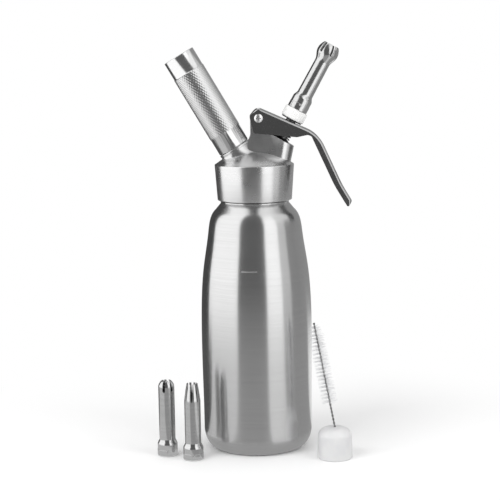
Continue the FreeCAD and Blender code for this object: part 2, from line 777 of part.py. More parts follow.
def make_nozzle_adapter():
    face_radius = adapter_radius - adapter_chamfer
    collar = turned([(0, adapter_bottom), (face_radius, adapter_bottom),
                     (adapter_radius, adapter_bottom + adapter_chamfer),
                     (adapter_radius, adapter_top - adapter_chamfer),
                     (face_radius, adapter_top), (0, adapter_top)])
    grooves = []
    for i in range(adapter_ribs):
        angle = math.radians(i * 360.0 / adapter_ribs)
        place = Vector(adapter_radius * math.cos(angle), adapter_radius * math.sin(angle), adapter_bottom - 1)
        grooves.append(Part.makeCylinder(adapter_rib_depth, adapter_height + 2, place))
    collar = collar.cut(grooves)
    stub = cylinder(adapter_stub_radius, adapter_top - 1, adapter_top + adapter_stub_length)
    ridge = thread(adapter_stub_radius, adapter_thread_depth, adapter_thread_root, adapter_thread_crest,
                   adapter_thread_lead, adapter_top + adapter_thread_start, adapter_thread_turns)
    bore = cylinder(stem_radius, adapter_bottom - 1, stem_top)
    mouth = cylinder(adapter_mouth_radius, stem_top - 1, adapter_top + adapter_stub_length + 1)
    return on_valve_axis(collar.fuse([stub, ridge]).cut([bore, mouth]))


# ---- lever -------------------------------------------------------------------------------------
def lever_corners():
    """The lever's side view as (x, z, corner radius), from the ear's foot round over the web."""
    knee_x = pivot_reach + knee_past_stem
    down, tip_down = math.radians(handle_angle), math.radians(tip_angle)
    flare_x = knee_x + handle_length * math.cos(down)
    flare_z = web_rise - handle_length * math.sin(down)
    end_x = flare_x + tip_length * math.cos(tip_down)
    end_z = flare_z - tip_length * math.sin(tip_down)
    mean = (down + tip_down) / 2
    inner_flare = (flare_x - handle_depth * math.sin(mean), flare_z - handle_depth * math.cos(mean))
    arch_z = web_rise - arch_drop
    inner_knee_x = inner_flare[0] - (arch_z - inner_flare[1]) / math.tan(down)
    return [
        (ear_foot_back, -ear_foot_drop, 1.2), (-ear_back, -ear_nose_drop, 2.5),
        (-ear_back + 2.4, web_rise, 5.5), (knee_x, web_rise, knee_radius),
        (flare_x, flare_z, tip_radius), (end_x, end_z, 1.2),
        (end_x - handle_depth * math.sin(mean) * 0.35, end_z - handle_depth * 1.05, 1.2),
        (inner_flare[0], inner_flare[1], tip_radius), (inner_knee_x, arch_z, knee_inner_radius),
        (pivot_reach + arch_start_past_stem, arch_z, 4.0),
        (pivot_reach + skirt_end_past_stem, -skirt_end_drop, 5.0),
        (skirt_mid_reach, -skirt_mid_drop, 20.0)]


def make_lever():
    outside = rounded_outline(lever_corners())
    full = across_y(outside, lever_width / 2)
    inner = [list(c) for c in lever_corners()]
    sheet = lever_sheet
    down = math.radians(handle_angle)
    bend = sheet * math.tan(down / 2)
    nose_x = -ear_back + 5.6
    knee_x = inner[3][0] - bend
    tip_lean = math.radians((handle_angle + tip_angle) / 2)
    flare = (inner[4][0] - sheet * math.sin(tip_lean), inner[4][1] - sheet * math.cos(tip_lean))
    end = (inner[5][0] - sheet * 1.5, inner[5][1] - sheet * 0.45)
    far = 60.0
    core = rounded_outline([
        (nose_x - far, web_rise - sheet, 0.0), (knee_x, web_rise - sheet, knee_radius - sheet),
        (flare[0], flare[1], tip_radius), (end[0], end[1], 0.0),
        (inner[6][0] - sheet * 1.6, inner[6][1] - far, 0.0), (nose_x - far, -far - far, 0.0)])
    channel = across_y(core, lever_width / 2 - sheet)
    ears_open = Part.makeBox(far, lever_width - 2 * sheet, far,
                             Vector(nose_x - far, -lever_width / 2 + sheet, 0))
    slot_low = web_rise - 2 * sheet
    rise = web_underside(0) + sheet / 2 - pivot_height
    stem_x = pivot_reach * math.cos(web_lean) + rise * math.sin(web_lean)
    slot_back, slot_front = stem_x - stem_slot_back, stem_x + stem_slot_front
    half_slot = stem_slot_width / 2
    slot = fused(Part.makeCylinder(half_slot, 4 * sheet, Vector(slot_back + half_slot, 0, slot_low)), [
        Part.makeCylinder(half_slot, 4 * sheet, Vector(slot_front - half_slot, 0, slot_low)),
        Part.makeBox(slot_front - slot_back - 2 * half_slot + 0.01, 2 * half_slot, 4 * sheet,
                     Vector(slot_back + half_slot, -half_slot, slot_low))])
    pin_hole = Part.makeCylinder(pin_radius + running_gap, 2 * lever_width,
                                 Vector(0, -lever_width, 0), Vector(0, 1, 0))
    return on_lever_pin(full.cut([channel, ears_open, slot, pin_hole]).removeSplitter())


def make_lever_pin():
    """A barrel pin with a round recessed head on the front ear, tapped from the back for its screw."""
    half = lever_width / 2
    front = -half - loose_gap
    along = Vector(0, 1, 0)
    barrel = Part.makeCylinder(pin_radius, 2 * half + loose_gap, Vector(0, front, 0), along)
    head = Part.makeCylinder(pin_head_radius, pin_head_height, Vector(0, front - pin_head_height, 0), along)
    rim = [e for e in head.Edges if e.CenterOfMass.y < front - pin_head_height / 2]
    head = head.makeFillet(pin_head_round, rim)
    recess = Part.makeCylinder(pin_recess_radius, pin_recess_depth,
                               Vector(0, front - pin_head_height, 0), along)
    bars = []
    for turn in (0, 90):
        bar = Part.makeBox(2 * pin_recess_radius, pin_recess_depth, pin_cross_width,
                           Vector(-pin_recess_radius, front - pin_head_height, -pin_cross_width / 2))
        bar.rotate(Vector(0, 0, 0), along, turn + pin_cross_turn)
        bars.append(bar)
    tap_length = screw_length + screw_end_gap
    tapped = Part.makeCylinder(screw_radius, tap_length, Vector(0, half - tap_length, 0), along)
    cross = bars[0].fuse(bars[1])
    return on_lever_pin(fused(barrel, [head]).cut([recess.common(cross), tapped]).removeSplitter())


def make_lever_pin_screw():
    half = lever_width / 2
    along = Vector(0, 1, 0)
    face = half + loose_gap
    shank = Part.makeCylinder(screw_radius, screw_length + loose_gap,
                              Vector(0, half - screw_length, 0), along)
    head = Part.makeCylinder(pin_head_radius, pin_head_height, Vector(0, face, 0), along)
    slot = Part.makeBox(3 * pin_head_radius, screw_slot_depth + 1, screw_slot_width,
                        Vector(-1.5 * pin_head_radius, face + pin_head_height - screw_slot_depth,
                               -screw_slot_width / 2))
    return on_lever_pin(fused(head, [shank]).cut(slot))


# ---- nozzles -----------------------------------------------------------------------------------
def nozzle_shell(outer_edges, tip):
    """A thin turned nozzle: its bell, shoulder and tube, then the given outer edges up to the tip."""
    tube_start = bell_length + bell_shoulder
    low = Part.Wire([
        line((bell_radius, 0), (bell_radius, bell_length)),
        curve([(bell_radius, bell_length), (tube_radius, tube_start)], (0.0, 2.4), (0.0, 2.4))]
        + outer_edges)
    outer = Part.Wire(low.Edges + [line(tip, (0, tip[1])), line((0, tip[1]), (0, 0)),
                                   line((0, 0), (bell_radius, 0))])
    wall = nozzle_wall
    inner_low = [
        line((bell_radius - wall, -1), (bell_radius - wall, bell_length - wall / 2)),
        curve([(bell_radius - wall, bell_length - wall / 2), (tube_radius - wall, tube_start)],
              (0.0, 2.4), (0.0, 2.4))]
    return turned_wire(outer), inner_low


def closed_core(inner_edges, top):
    """The nozzle's hollow from its open bell to a closing height, as a solid to cut away."""
    last = inner_edges[-1].Vertexes[-1]
    end = (last.X, last.Z)
    return turned_wire(Part.Wire(inner_edges + [
        line(end, (end[0], top)), line((end[0], top), (0, top)), line((0, top), (0, -1)),
        line((0, -1), (bell_radius - nozzle_wall, -1))]))


def crimp_hole():
    """The small hole at the bell's front that keys the insert."""
    return Part.makeCylinder(crimp_radius, 2 * nozzle_wall + 1, Vector(0, -bell_radius - 0.5, crimp_height),
                             Vector(0, 1, 0))


def make_tulip_nozzle():
    start = (tube_radius, bell_length + bell_shoulder)
    neck = (tube_radius - 0.3, tulip_tube_end)
    tip = (tulip_tip_radius, tulip_length)
    flare = curve([neck, (tulip_radius, tulip_widest), tip], (0.0, 1.0), (-0.75, 1.0))
    shell, inner = nozzle_shell([line(start, neck), flare], tip)
    wall = nozzle_wall
    inner += [line((start[0] - wall, start[1]), (neck[0] - wall, neck[1])),
              curve([(neck[0] - wall, neck[1]), (tulip_radius - wall, tulip_widest),
                     (tip[0] - wall * 1.1, tip[1] + 0.02)], (0.0, 1.0), (-0.75, 1.0))]
    cuts = [closed_core(inner, tulip_length + 1), crimp_hole()]
    for i in range(tulip_slots):
        half = tulip_slot_width / 2
        foot = tulip_length - tulip_slot_length + half
        slot = Part.makeBox(2 * tulip_radius, 2 * half, tulip_slot_length, Vector(0, -half, foot))
        round_foot = Part.makeCylinder(half, 2 * tulip_radius, Vector(0, 0, foot), Vector(1, 0, 0))
        slot = slot.fuse(round_foot)
        slot.rotate(Vector(0, 0, 0), Vector(0, 0, 1), -90 + tulip_slot_turn + i * 360.0 / tulip_slots)
        cuts.append(slot)
    return shell.cut(cuts).removeSplitter()


def make_straight_nozzle():
    start = (tube_radius, bell_length + bell_shoulder)
    dome_start = (tube_radius, nozzle_length - tube_radius * 0.85)
    tip = (straight_mouth_radius + nozzle_wall * 0.6, nozzle_length)
    dome = curve([dome_start, (tube_radius * 0.84, nozzle_length - tube_radius * 0.33), tip],
                 (0.0, 1.0), (-1.0, 0.12))
    shell, inner = nozzle_shell([line(start, dome_start), dome], tip)
    wall = nozzle_wall
    inner += [line((start[0] - wall, start[1]), (dome_start[0] - wall, dome_start[1])),
              curve([(dome_start[0] - wall, dome_start[1]),
                     (tube_radius * 0.84 - wall * 0.8, nozzle_length - tube_radius * 0.33 - wall * 0.6),
                     (straight_mouth_radius, nozzle_length - wall)], (0.0, 1.0), (-1.0, 0.12))]
    cuts = [closed_core(inner, nozzle_length + 1), crimp_hole()]
    for i in range(straight_slots):
        half = straight_slot_width / 2
        foot = nozzle_length - straight_slot_length + half
        slot = Part.makeBox(2 * tube_radius, 2 * half, straight_slot_length, Vector(0, -half, foot))
        round_foot = Part.makeCylinder(half, 2 * tube_radius, Vector(0, 0, foot), Vector(1, 0, 0))
        slot = slot.fuse(round_foot)
        slot.rotate(Vector(0, 0, 0), Vector(0, 0, 1), -90 + straight_slot_turn + i * 360.0 / straight_slots)
        cuts.append(slot)
    return shell.cut(cuts).removeSplitter()


def make_pointed_nozzle():
    start = (tube_radius, bell_length + bell_shoulder)
    crown_start = (tube_radius, nozzle_length - pointed_slot_length)
    tip = (pointed_tip_radius, nozzle_length)
    shell, inner = nozzle_shell([line(start, crown_start), line(crown_start, tip)], tip)
    wall = nozzle_wall
    inner += [line((start[0] - wall, start[1]), (crown_start[0] - wall, crown_start[1])),
              line((crown_start[0] - wall, crown_start[1]), (tip[0] - wall, tip[1]))]
    cuts = [closed_core(inner, nozzle_length + 1), crimp_hole()]
    for i in range(pointed_slots):
        low, high = nozzle_length - pointed_slot_length, nozzle_length + 1
        corners = [Vector(0, -pointed_slot_bottom / 2, low), Vector(0, pointed_slot_bottom / 2, low),
                   Vector(0, pointed_slot_top / 2, high), Vector(0, -pointed_slot_top / 2, high)]
        slot = Part.Face(Part.makePolygon(corners + corners[:1])).extrude(Vector(2 * tube_radius, 0, 0))
        slot.rotate(Vector(0, 0, 0), Vector(0, 0, 1), -90 + pointed_slot_turn + i * 360.0 / pointed_slots)
        cuts.append(slot)
    return shell.cut(cuts).removeSplitter()


def make_nozzle_insert():
    """The plastic thread crimped into a nozzle's bell."""
    body = ring(insert_bore_radius, insert_radius, insert_start, insert_height)
    groove = thread(insert_bore_radius, insert_thread_radius - insert_bore_radius,
                    adapter_thread_root + thread_gap, adapter_thread_crest + thread_gap,
                    adapter_thread_lead, adapter_thread_start - 2 * adapter_thread_lead,
                    insert_groove_turns)
    return body.cut(groove).removeSplitter()


def on_adapter(shape):
    """A nozzle part screwed onto the adapter."""
    shape = shape.copy()
    shape.translate(Vector(0, 0, adapter_top + bell_gap))
    return on_valve_axis(shape)


def standing(shape, place):
    """A nozzle part that stands on the table by itself."""
    shape = shape.copy()
    shape.translate(Vector(place[0], place[1], 0))
    return shape


# ---- brush and cap -----------------------------------------------------------------------------
def brush_frame(shape):
    """A brush part made along Z from the wire's lower end, leaned and stood in the cap's socket."""
    shape = shape.copy()
    shape.translate(Vector(0, 0, -brush_in_cap))
    shape.rotate(Vector(0, 0, 0), Vector(0, 1, 0), brush_lean)
    shape.translate(Vector(cap_place[0], cap_place[1], cap_height))
    return shape


def cap_profile(inset):
    """The cap's outer or inner turned outline."""
    radius, top = cap_radius - inset, cap_height - inset
    edge = (radius - 0.6, cap_edge_height - inset)
    crown = curve([edge, (radius * 0.72, top - 1.6), (0.0, top)], (-0.35, 1.0), (-1.0, 0.0))
    low = -1.0 if inset else 0.0
    return Part.Wire([line((0, low), (radius, low)), line((radius, low), edge), crown,
                      line((0, top), (0, low))])


def make_brush_cap():
    shell = turned_wire(cap_profile(0.0)).cut(turned_wire(cap_profile(cap_wall)))
    socket = Part.makeCylinder(cap_socket_radius, cap_socket_depth, Vector(0, 0, -cap_socket_depth))
    socket.rotate(Vector(0, 0, 0), Vector(0, 1, 0), brush_lean)
    socket.translate(Vector(0, 0, cap_height))
    socket = socket.common(turned_wire(cap_profile(0.0)))
    hole = Part.makeCylinder(wire_radius + running_gap, brush_in_cap + 5, Vector(0, 0, -brush_in_cap))
    hole.rotate(Vector(0, 0, 0), Vector(0, 1, 0), brush_lean)
    hole.translate(Vector(0, 0, cap_height))
    cap = fused(shell, [socket]).cut(hole)
    cap.translate(Vector(cap_place[0], cap_place[1], 0))
    return cap


def make_brush_wire():
    rod = cylinder(wire_radius, 0.0, brush_length - wire_radius)
    end = Part.makeSphere(wire_radius, Vector(0, 0, brush_length - wire_radius))
    return brush_frame(fused(rod, [end]))


def make_brush_bristles():
    top = brush_length - bristle_tip_gap
    low = top - bristle_length
    body = turned([(0, low), (bristle_radius, low), (bristle_radius, top - bristle_tip_length),
                   (bristle_tip_radius, top), (0, top)])
    return brush_frame(body.cut(cylinder(wire_radius, low - 1, top + 1)))


# ---- write every part --------------------------------------------------------------------------
parts = {
    "bottle": make_bottle(),
    "head_gasket": make_head_gasket(),
    "head": make_head(),
    "piercing_pin": make_piercing_pin(),
    "charger_seal": make_charger_seal(),
    "check_valve_flap": make_check_flap(),
    "check_valve_ring": make_check_ring(),
    "gas_charger": make_gas_charger(),
    "charger_holder": make_charger_holder(),
    "valve_guide_bush": make_guide_bush(),
    "stem_seal": make_stem_seal(),
    "valve_spring": make_valve_spring(),
    "valve_stem": make_valve_stem(),
    "valve_disc": make_valve_disc(),
    "valve_nut": make_valve_nut(),
    "adapter_washer": make_adapter_washer(),
    "nozzle_adapter": make_nozzle_adapter(),
    "lever": make_lever(),
    "lever_pin": make_lever_pin(),
    "lever_pin_screw": make_lever_pin_screw(),
    "tulip_nozzle": on_adapter(make_tulip_nozzle()),
    "tulip_insert": on_adapter(make_nozzle_insert()),
    "straight_nozzle": standing(make_straight_nozzle(), straight_place),
    "straight_insert": standing(make_nozzle_insert(), straight_place),
    "pointed_nozzle": standing(make_pointed_nozzle(), pointed_place),
    "pointed_insert": standing(make_nozzle_insert(), pointed_place),
    "brush_cap": make_brush_cap(),
    "brush_wire": make_brush_wire(),
    "brush_bristles": make_brush_bristles(),
}

os.makedirs("parts", exist_ok=True)
for name, shape in parts.items():
    shape.exportStep("parts/" + name + ".step")
    box = shape.BoundBox
    print(f"{name:18s} solids {len(shape.Solids)} valid {shape.isValid()} volume {shape.Volume:9.1f} mm3, "
          f"x {box.XMin:.1f}..{box.XMax:.1f} y {box.YMin:.1f}..{box.YMax:.1f} "
          f"z {box.ZMin:.1f}..{box.ZMax:.1f}")
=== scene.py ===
# %% [markdown]
# # A cream whipper in brushed and polished steel
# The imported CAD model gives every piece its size, its place and the body that it rides on. This
# lesson makes the visible pieces again with bmesh operators, finer than the solids, and gives each
# one a finish made of shader nodes. The frame comes first, because every size below starts there.

# %% Load the frame
import math
import random

import bmesh
import bpy
import numpy as np
from mathutils import Matrix, Vector
from mathutils.geometry import interpolate_bezier


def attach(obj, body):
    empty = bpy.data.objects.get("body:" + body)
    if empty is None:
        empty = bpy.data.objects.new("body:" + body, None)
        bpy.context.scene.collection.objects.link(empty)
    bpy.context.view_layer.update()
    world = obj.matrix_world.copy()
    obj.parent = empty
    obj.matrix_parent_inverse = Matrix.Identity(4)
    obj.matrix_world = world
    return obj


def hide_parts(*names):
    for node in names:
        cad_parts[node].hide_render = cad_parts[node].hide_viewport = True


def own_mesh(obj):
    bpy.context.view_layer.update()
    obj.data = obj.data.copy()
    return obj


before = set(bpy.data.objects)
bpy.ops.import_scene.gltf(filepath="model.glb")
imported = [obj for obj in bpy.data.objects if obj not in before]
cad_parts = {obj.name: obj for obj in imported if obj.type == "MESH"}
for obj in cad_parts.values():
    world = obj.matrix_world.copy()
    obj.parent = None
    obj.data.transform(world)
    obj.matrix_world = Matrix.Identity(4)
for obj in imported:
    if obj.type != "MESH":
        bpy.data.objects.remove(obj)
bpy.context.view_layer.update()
scene = bpy.context.scene

# %% [markdown]
# ## The camera
# A long lens a little over one metre away keeps the sides of a tall bottle nearly straight. It stands
# about level with the nozzle's tip and is tilted down. The camera's turn is built from two rotations,
# the tilt and a slight roll, so that each one can be read and changed by itself.

# %% Camera
camera_place = Vector((-0.0049, -1.181, 0.350))
camera_pitch_down = math.radians(8.414)
camera_roll = math.radians(-0.90)
camera_lens = 97.66


def make_camera():
    """A long lens in front of the object, looking along +Y and a little down."""
    data = bpy.data.cameras.new("camera")
    data.lens = camera_lens
    camera = bpy.data.objects.new("camera", data)
    scene.collection.objects.link(camera)
    turn = Matrix.Rotation(math.pi / 2 - camera_pitch_down, 4, "X")
    camera.matrix_world = Matrix.Translation(camera_place) @ turn @ Matrix.Rotation(camera_roll, 4, "Z")
    return camera


scene.camera = make_camera()
print("camera at", tuple(round(v, 3) for v in camera_place))

# %% [markdown]
# ## Small tools for shader nodes
# A material is a handful of nodes and links. These helpers add a node, set its sockets and join
# them, so that each finish further down stays short enough to read in one look.


# %% Node helpers
def node(tree, kind, **sockets):
    """A new node. A value sets a socket, and another node's output is linked to it."""
    made = tree.nodes.new(kind)
    for name, value in sockets.items():
        plug(tree, made, name.replace("_", " "), value)
    return made


def plug(tree, made, name, value):
    """Sets or links one input, by its name or its number."""
    socket = made.inputs[int(name)] if name.isdigit() else made.inputs[name]
    if isinstance(value, bpy.types.NodeSocket):
        tree.links.new(value, socket)
    else:
        socket.default_value = value


def math_node(tree, operation, first, second=0.0, clamp=False):
    made = tree.nodes.new("ShaderNodeMath")
    made.operation = operation
    made.use_clamp = clamp
    plug(tree, made, "0", first)
    plug(tree, made, "1", second)
    return made.outputs[0]


def ramp(tree, value, low, high, from_low=0.0, from_high=1.0):
    """A value taken smoothly from one range to another."""
    made = tree.nodes.new("ShaderNodeMapRange")
    made.interpolation_type = "SMOOTHSTEP"
    for number, setting in enumerate((value, from_low, from_high, low, high)):
        plug(tree, made, str(number), setting)
    return made.outputs[0]


def mixed(tree, share, first, second):
    """A colour between two colours."""
    made = tree.nodes.new("ShaderNodeMix")
    made.data_type = "RGBA"
    for number, value in ((0, share), (6, first), (7, second)):
        plug(tree, made, str(number), value)
    return made.outputs[2]


def new_material(name):
    """An empty material with its tree and its output node."""
    material = bpy.data.materials.new(name)
    material.use_nodes = True
    tree = material.node_tree
    tree.nodes.clear()
    return material, tree, tree.nodes.new("ShaderNodeOutputMaterial")


def grey(value):
    return (value, value, value, 1.0)


def own_place(tree):
    """Where a point lies on its own piece, in metres."""
    return node(tree, "ShaderNodeTexCoord").outputs["Object"]


def looked_at(tree):
    """1 for a ray from the camera or from a shiny or clear surface, and 0 for soft light."""
    path = node(tree, "ShaderNodeLightPath")
    seen = math_node(tree, "ADD", path.outputs["Is Camera Ray"], path.outputs["Is Glossy Ray"])
    return math_node(tree, "ADD", seen, path.outputs["Is Transmission Ray"], clamp=True)


print("a middle grey is", grey(0.5))

# %% [markdown]
# ## The studio
# Polished steel shows nothing but its surroundings, so the studio is the biggest part of its look.
# Upright cards stand in a ring round the object: some bright like a softbox, some dark like the room
# behind the camera. They are seen in reflections alone, so that they neither light nor hide anything.
# The world is white where a ray leaves the scene, which gives the plain white background.

# %% Cards
card_radius = 0.60
card_height = 0.95
card_steps = 24
table_height = 0.001


def swept(bm, geom, angle, steps, **settings):
    """Spins a part of a mesh about the Z axis."""
    bmesh.ops.spin(bm, geom=geom, cent=(0, 0, 0), axis=(0, 0, 1), angle=angle, steps=steps, **settings)


def stage_piece(name, bm, material, seen=False):
    """Puts a piece into the studio. One that isn't to be seen shows in reflections alone."""
    mesh = bpy.data.meshes.new(name)
    bm.to_mesh(mesh)
    bm.free()
    mesh.materials.append(material)
    piece = bpy.data.objects.new(name, mesh)
    scene.collection.objects.link(piece)
    if not seen:
        for ray in ("camera", "diffuse", "shadow", "transmission", "volume_scatter"):
            setattr(piece, f"visible_{ray}", False)


def card(name, start, end, strength, *ends):
    """A glowing strip round the object between two compass angles, 0 at the camera and + to the
    right. Its two ends are (radius, height)."""
    material, tree, output = new_material(name)
    light = node(tree, "ShaderNodeEmission", Color=grey(1.0), Strength=strength)
    plug(tree, output, "Surface", light.outputs[0])
    bm = bmesh.new()
    first = math.radians(start)
    corners = [bm.verts.new((radius * math.sin(first), -radius * math.cos(first), height))
               for radius, height in ends]
    edge = bm.edges.new(corners)
    swept(bm, [edge, *corners], math.radians(end - start), card_steps)
    stage_piece(name, bm, material)


def upright_card(name, start, end, strength, low=0.0, high=card_height):
    card(name, start, end, strength, (card_radius, low), (card_radius, high))


def flat_card(name, start, end, strength, near, far=card_radius, height=table_height):
    """A level card. Just over the floor it is a shaded table, and high up it closes the ring."""
    card(name, start, end, strength, (near, height), (far, height))


print("the cards stand", card_radius, "m away and", card_height, "m high")

# %% Floor and world
floor_size = 6.0
floor_near = 0.16
floor_far = 0.34


def make_floor():
    """A pale floor that keeps the soft shadow near the object and is plain white further off."""
    material, tree, output = new_material("studio_floor")
    paint = node(tree, "ShaderNodeBsdfPrincipled", Base_Color=grey(0.97), Roughness=0.9)
    paint.inputs["Specular IOR Level"].default_value = 0.0
    white = node(tree, "ShaderNodeEmission", Color=grey(1.0), Strength=1.0)
    away = node(tree, "ShaderNodeVectorMath", **{"0": own_place(tree)})
    away.operation = "LENGTH"
    far = ramp(tree, away.outputs["Value"], 0.0, 1.0, floor_near, floor_far)
    share = math_node(tree, "MULTIPLY", far, looked_at(tree))
    blend = node(tree, "ShaderNodeMixShader", **{"0": share, "1": paint.outputs[0], "2": white.outputs[0]})
    plug(tree, output, "Surface", blend.outputs[0])
    bm = bmesh.new()
    bmesh.ops.create_grid(bm, x_segments=1, y_segments=1, size=floor_size / 2)
    stage_piece("floor", bm, material, seen=True)


def make_world(ambient):
    """White to look at. Ambient is the strength of the soft light that it sheds."""
    world = bpy.data.worlds.new("studio_world")
    world.use_nodes = True
    tree = world.node_tree
    tree.nodes.clear()
    strength = ramp(tree, looked_at(tree), ambient, 1.0)
    light = node(tree, "ShaderNodeBackground", Color=grey(1.0), Strength=strength)
    plug(tree, tree.nodes.new("ShaderNodeOutputWorld"), "Surface", light.outputs[0])
    scene.world = world


print("the floor is", floor_size, "m wide")

# %% Lamps
lamp_aim = Vector((0.0, 0.0, 0.15))


def soft_lamp(name, place, size, watts):
    """A square area lamp that looks at the bottle and isn't seen in the steel."""
    data = bpy.data.lights.new(name, "AREA")
    data.size = size
    data.energy = watts
    lamp = bpy.data.objects.new(name, data)
    scene.collection.objects.link(lamp)
    turn = (lamp_aim - Vector(place)).to_track_quat("-Z", "Y").to_matrix().to_4x4()
    lamp.matrix_world = Matrix.Translation(place) @ turn
    lamp.visible_glossy = False
    lamp.visible_camera = False


print("the lamps look at a height of", lamp_aim.z)

# %% The studio set up
over_near = 0.01
foot_ring_near = 0.042
table_near = 0.066
make_floor()
make_world(ambient=0.8)
upright_card("card_left_back", -178, -114, 0.07)
upright_card("card_left_softbox", -114, -38, 1.3)
upright_card("card_room_low", -38, 21, 0.24, high=0.05)
upright_card("card_room", -38, 21, 0.13, low=0.05)
upright_card("card_right_strip", 21, 54, 1.35)
upright_card("card_right_soft", 54, 76, 0.7, high=0.42)
upright_card("card_right_dark", 76, 104, 0.30, high=0.42)
upright_card("card_right_high", 54, 104, 0.9, low=0.42)
upright_card("card_right_back", 104, 178, 0.32)
for name, start, end, strength in (("left", -121, -38, 1.3), ("room", -38, 21, 0.15),
                                   ("right", 21, 92, 1.1), ("back", 92, 239, 0.6)):
    flat_card(f"card_over_{name}", start, end, strength, over_near, height=card_height)
# The bottle's foot mirrors the table straight below it, so one even ring lies there.
flat_card("card_foot", -180, 180, 0.42, foot_ring_near, far=table_near)
for name, start, end, strength in (("back", -178, -104, 0.10), ("left", -104, -38, 0.62),
                                   ("room", -38, 21, 0.38), ("right", 21, 56, 0.72),
                                   ("dark", 56, 128, 0.36)):
    flat_card(f"card_table_{name}", start, end, strength, table_near)
soft_lamp("lamp_left", (-0.9, -0.8, 1.1), 0.9, 9.0)
soft_lamp("lamp_right", (1.0, -0.7, 0.9), 0.7, 4.0)
scene.view_settings.view_transform = "Standard"

# %% [markdown]
# ## Shared surface effects
# Steel of this kind is never one flat grey. Brushing leaves fine lines, hands leave faint smears, and
# moulded plastic has a speckle too fine to name. Each effect is one node group with named inputs, so
# that every metal can use it with its own scale and strength.


# %% Effect: fine lines left by a brush or a lathe
def new_group(name, inputs, outputs):
    """An empty node group. An input is (label, kind, default), and an output is (label, kind)."""
    group = bpy.data.node_groups.new(name, "ShaderNodeTree")
    for label, kind, default in inputs:
        socket = group.interface.new_socket(label, in_out="INPUT", socket_type=kind)
        socket.default_value = default
    for label, kind in outputs:
        group.interface.new_socket(label, in_out="OUTPUT", socket_type=kind)
    return group, group.nodes.new("NodeGroupInput"), group.nodes.new("NodeGroupOutput")


def noise(tree, vector, scale, detail=2.0, roughness=0.5):
    made = node(tree, "ShaderNodeTexNoise", Vector=vector, Scale=scale, Detail=detail,
                Roughness=roughness)
    return made.outputs[0]


def make_fine_lines():
    """Lines that run round the local Z axis. Lines is how close they lie, and Run how often they break."""
    group, given, result = new_group(
        "fine_lines",
        [("Vector", "NodeSocketVector", (0, 0, 0)), ("Lines", "NodeSocketFloat", 1500.0),
         ("Run", "NodeSocketFloat", 8.0)],
        [("Height", "NodeSocketFloat"), ("Tone", "NodeSocketFloat")])
    parts = node(group, "ShaderNodeSeparateXYZ", Vector=given.outputs["Vector"])
    across = math_node(group, "MULTIPLY", parts.outputs["X"], given.outputs["Run"])
    deep = math_node(group, "MULTIPLY", parts.outputs["Y"], given.outputs["Run"])
    along = math_node(group, "MULTIPLY", parts.outputs["Z"], given.outputs["Lines"])
    stretched = node(group, "ShaderNodeCombineXYZ", X=across, Y=deep, Z=along).outputs[0]
    fine = noise(group, stretched, 1.0, detail=3.0, roughness=0.65)
    slow = noise(group, stretched, 0.45, detail=1.0)
    tone = math_node(group, "ADD", math_node(group, "MULTIPLY", fine, 0.6),
                     math_node(group, "MULTIPLY", slow, 0.4))
    plug(group, result, "Height", fine)
    plug(group, result, "Tone", tone)
    return group


fine_lines = make_fine_lines()
print("group fine_lines:", [s.name for s in fine_lines.interface.items_tree])


# %% Effect: faint marks of handling
def make_handling_marks():
    """Slow cloudy marks, 0 to 1, that change how rough a polished surface is."""
    group, given, result = new_group(
        "handling_marks",
        [("Vector", "NodeSocketVector", (0, 0, 0)), ("Size", "NodeSocketFloat", 60.0)],
        [("Mask", "NodeSocketFloat")])
    cloud = noise(group, given.outputs["Vector"], given.outputs["Size"], detail=4.0, roughness=0.6)
    plug(group, result, "Mask", ramp(group, cloud, 0.0, 1.0, 0.35, 0.7))
    return group


handling_marks = make_handling_marks()
print("group handling_marks:", [s.name for s in handling_marks.interface.items_tree])


# %% Effect: the fine speckle of a moulded surface
def make_moulding_speckle():
    group, given, result = new_group(
        "moulding_speckle",
        [("Vector", "NodeSocketVector", (0, 0, 0)), ("Grains", "NodeSocketFloat", 2500.0)],
        [("Height", "NodeSocketFloat"), ("Tone", "NodeSocketFloat")])
    grain = noise(group, given.outputs["Vector"], given.outputs["Grains"], detail=1.0)
    slow = noise(group, given.outputs["Vector"], 90.0, detail=2.0)
    plug(group, result, "Height", grain)
    plug(group, result, "Tone", slow)
    return group


moulding_speckle = make_moulding_speckle()
print("groups:", [g.name for g in bpy.data.node_groups])

# %% [markdown]
# ## Steel finishes
# All the steel here is one alloy with different last steps: brushed round the bottle, satin on the
# head, polished on the lever and the nozzles. So one function makes them all, from the grey, the
# roughness, how much the lines spread the light to one side, and how strong the lines are.


# %% Fill line
def use_group(tree, group, vector, **values):
    made = tree.nodes.new("ShaderNodeGroup")
    made.node_tree = group
    plug(tree, made, "Vector", vector)
    for name, value in values.items():
        plug(tree, made, name, value)
    return made


fill_line_height = 0.163
fill_line_middle = -0.0059
fill_line_half_length = 0.0067
fill_line_half_width = 0.0005
fill_line_tone = 0.95
fill_line_rough = 0.5


def fill_line(tree, place):
    """1 on a short level line at the front of the bottle, which shows how far it may be filled."""
    parts = node(tree, "ShaderNodeSeparateXYZ", Vector=place)
    off = math_node(tree, "SUBTRACT", parts.outputs["Z"], fill_line_height)
    level = math_node(tree, "LESS_THAN", math_node(tree, "ABSOLUTE", off), fill_line_half_width)
    aside = math_node(tree, "SUBTRACT", parts.outputs["X"], fill_line_middle)
    short = math_node(tree, "LESS_THAN", math_node(tree, "ABSOLUTE", aside), fill_line_half_length)
    front = math_node(tree, "LESS_THAN", parts.outputs["Y"], 0.0)
    return math_node(tree, "MULTIPLY", math_node(tree, "MULTIPLY", level, short), front)


print("the fill line is", round(2000 * fill_line_half_length, 1), "mm long")


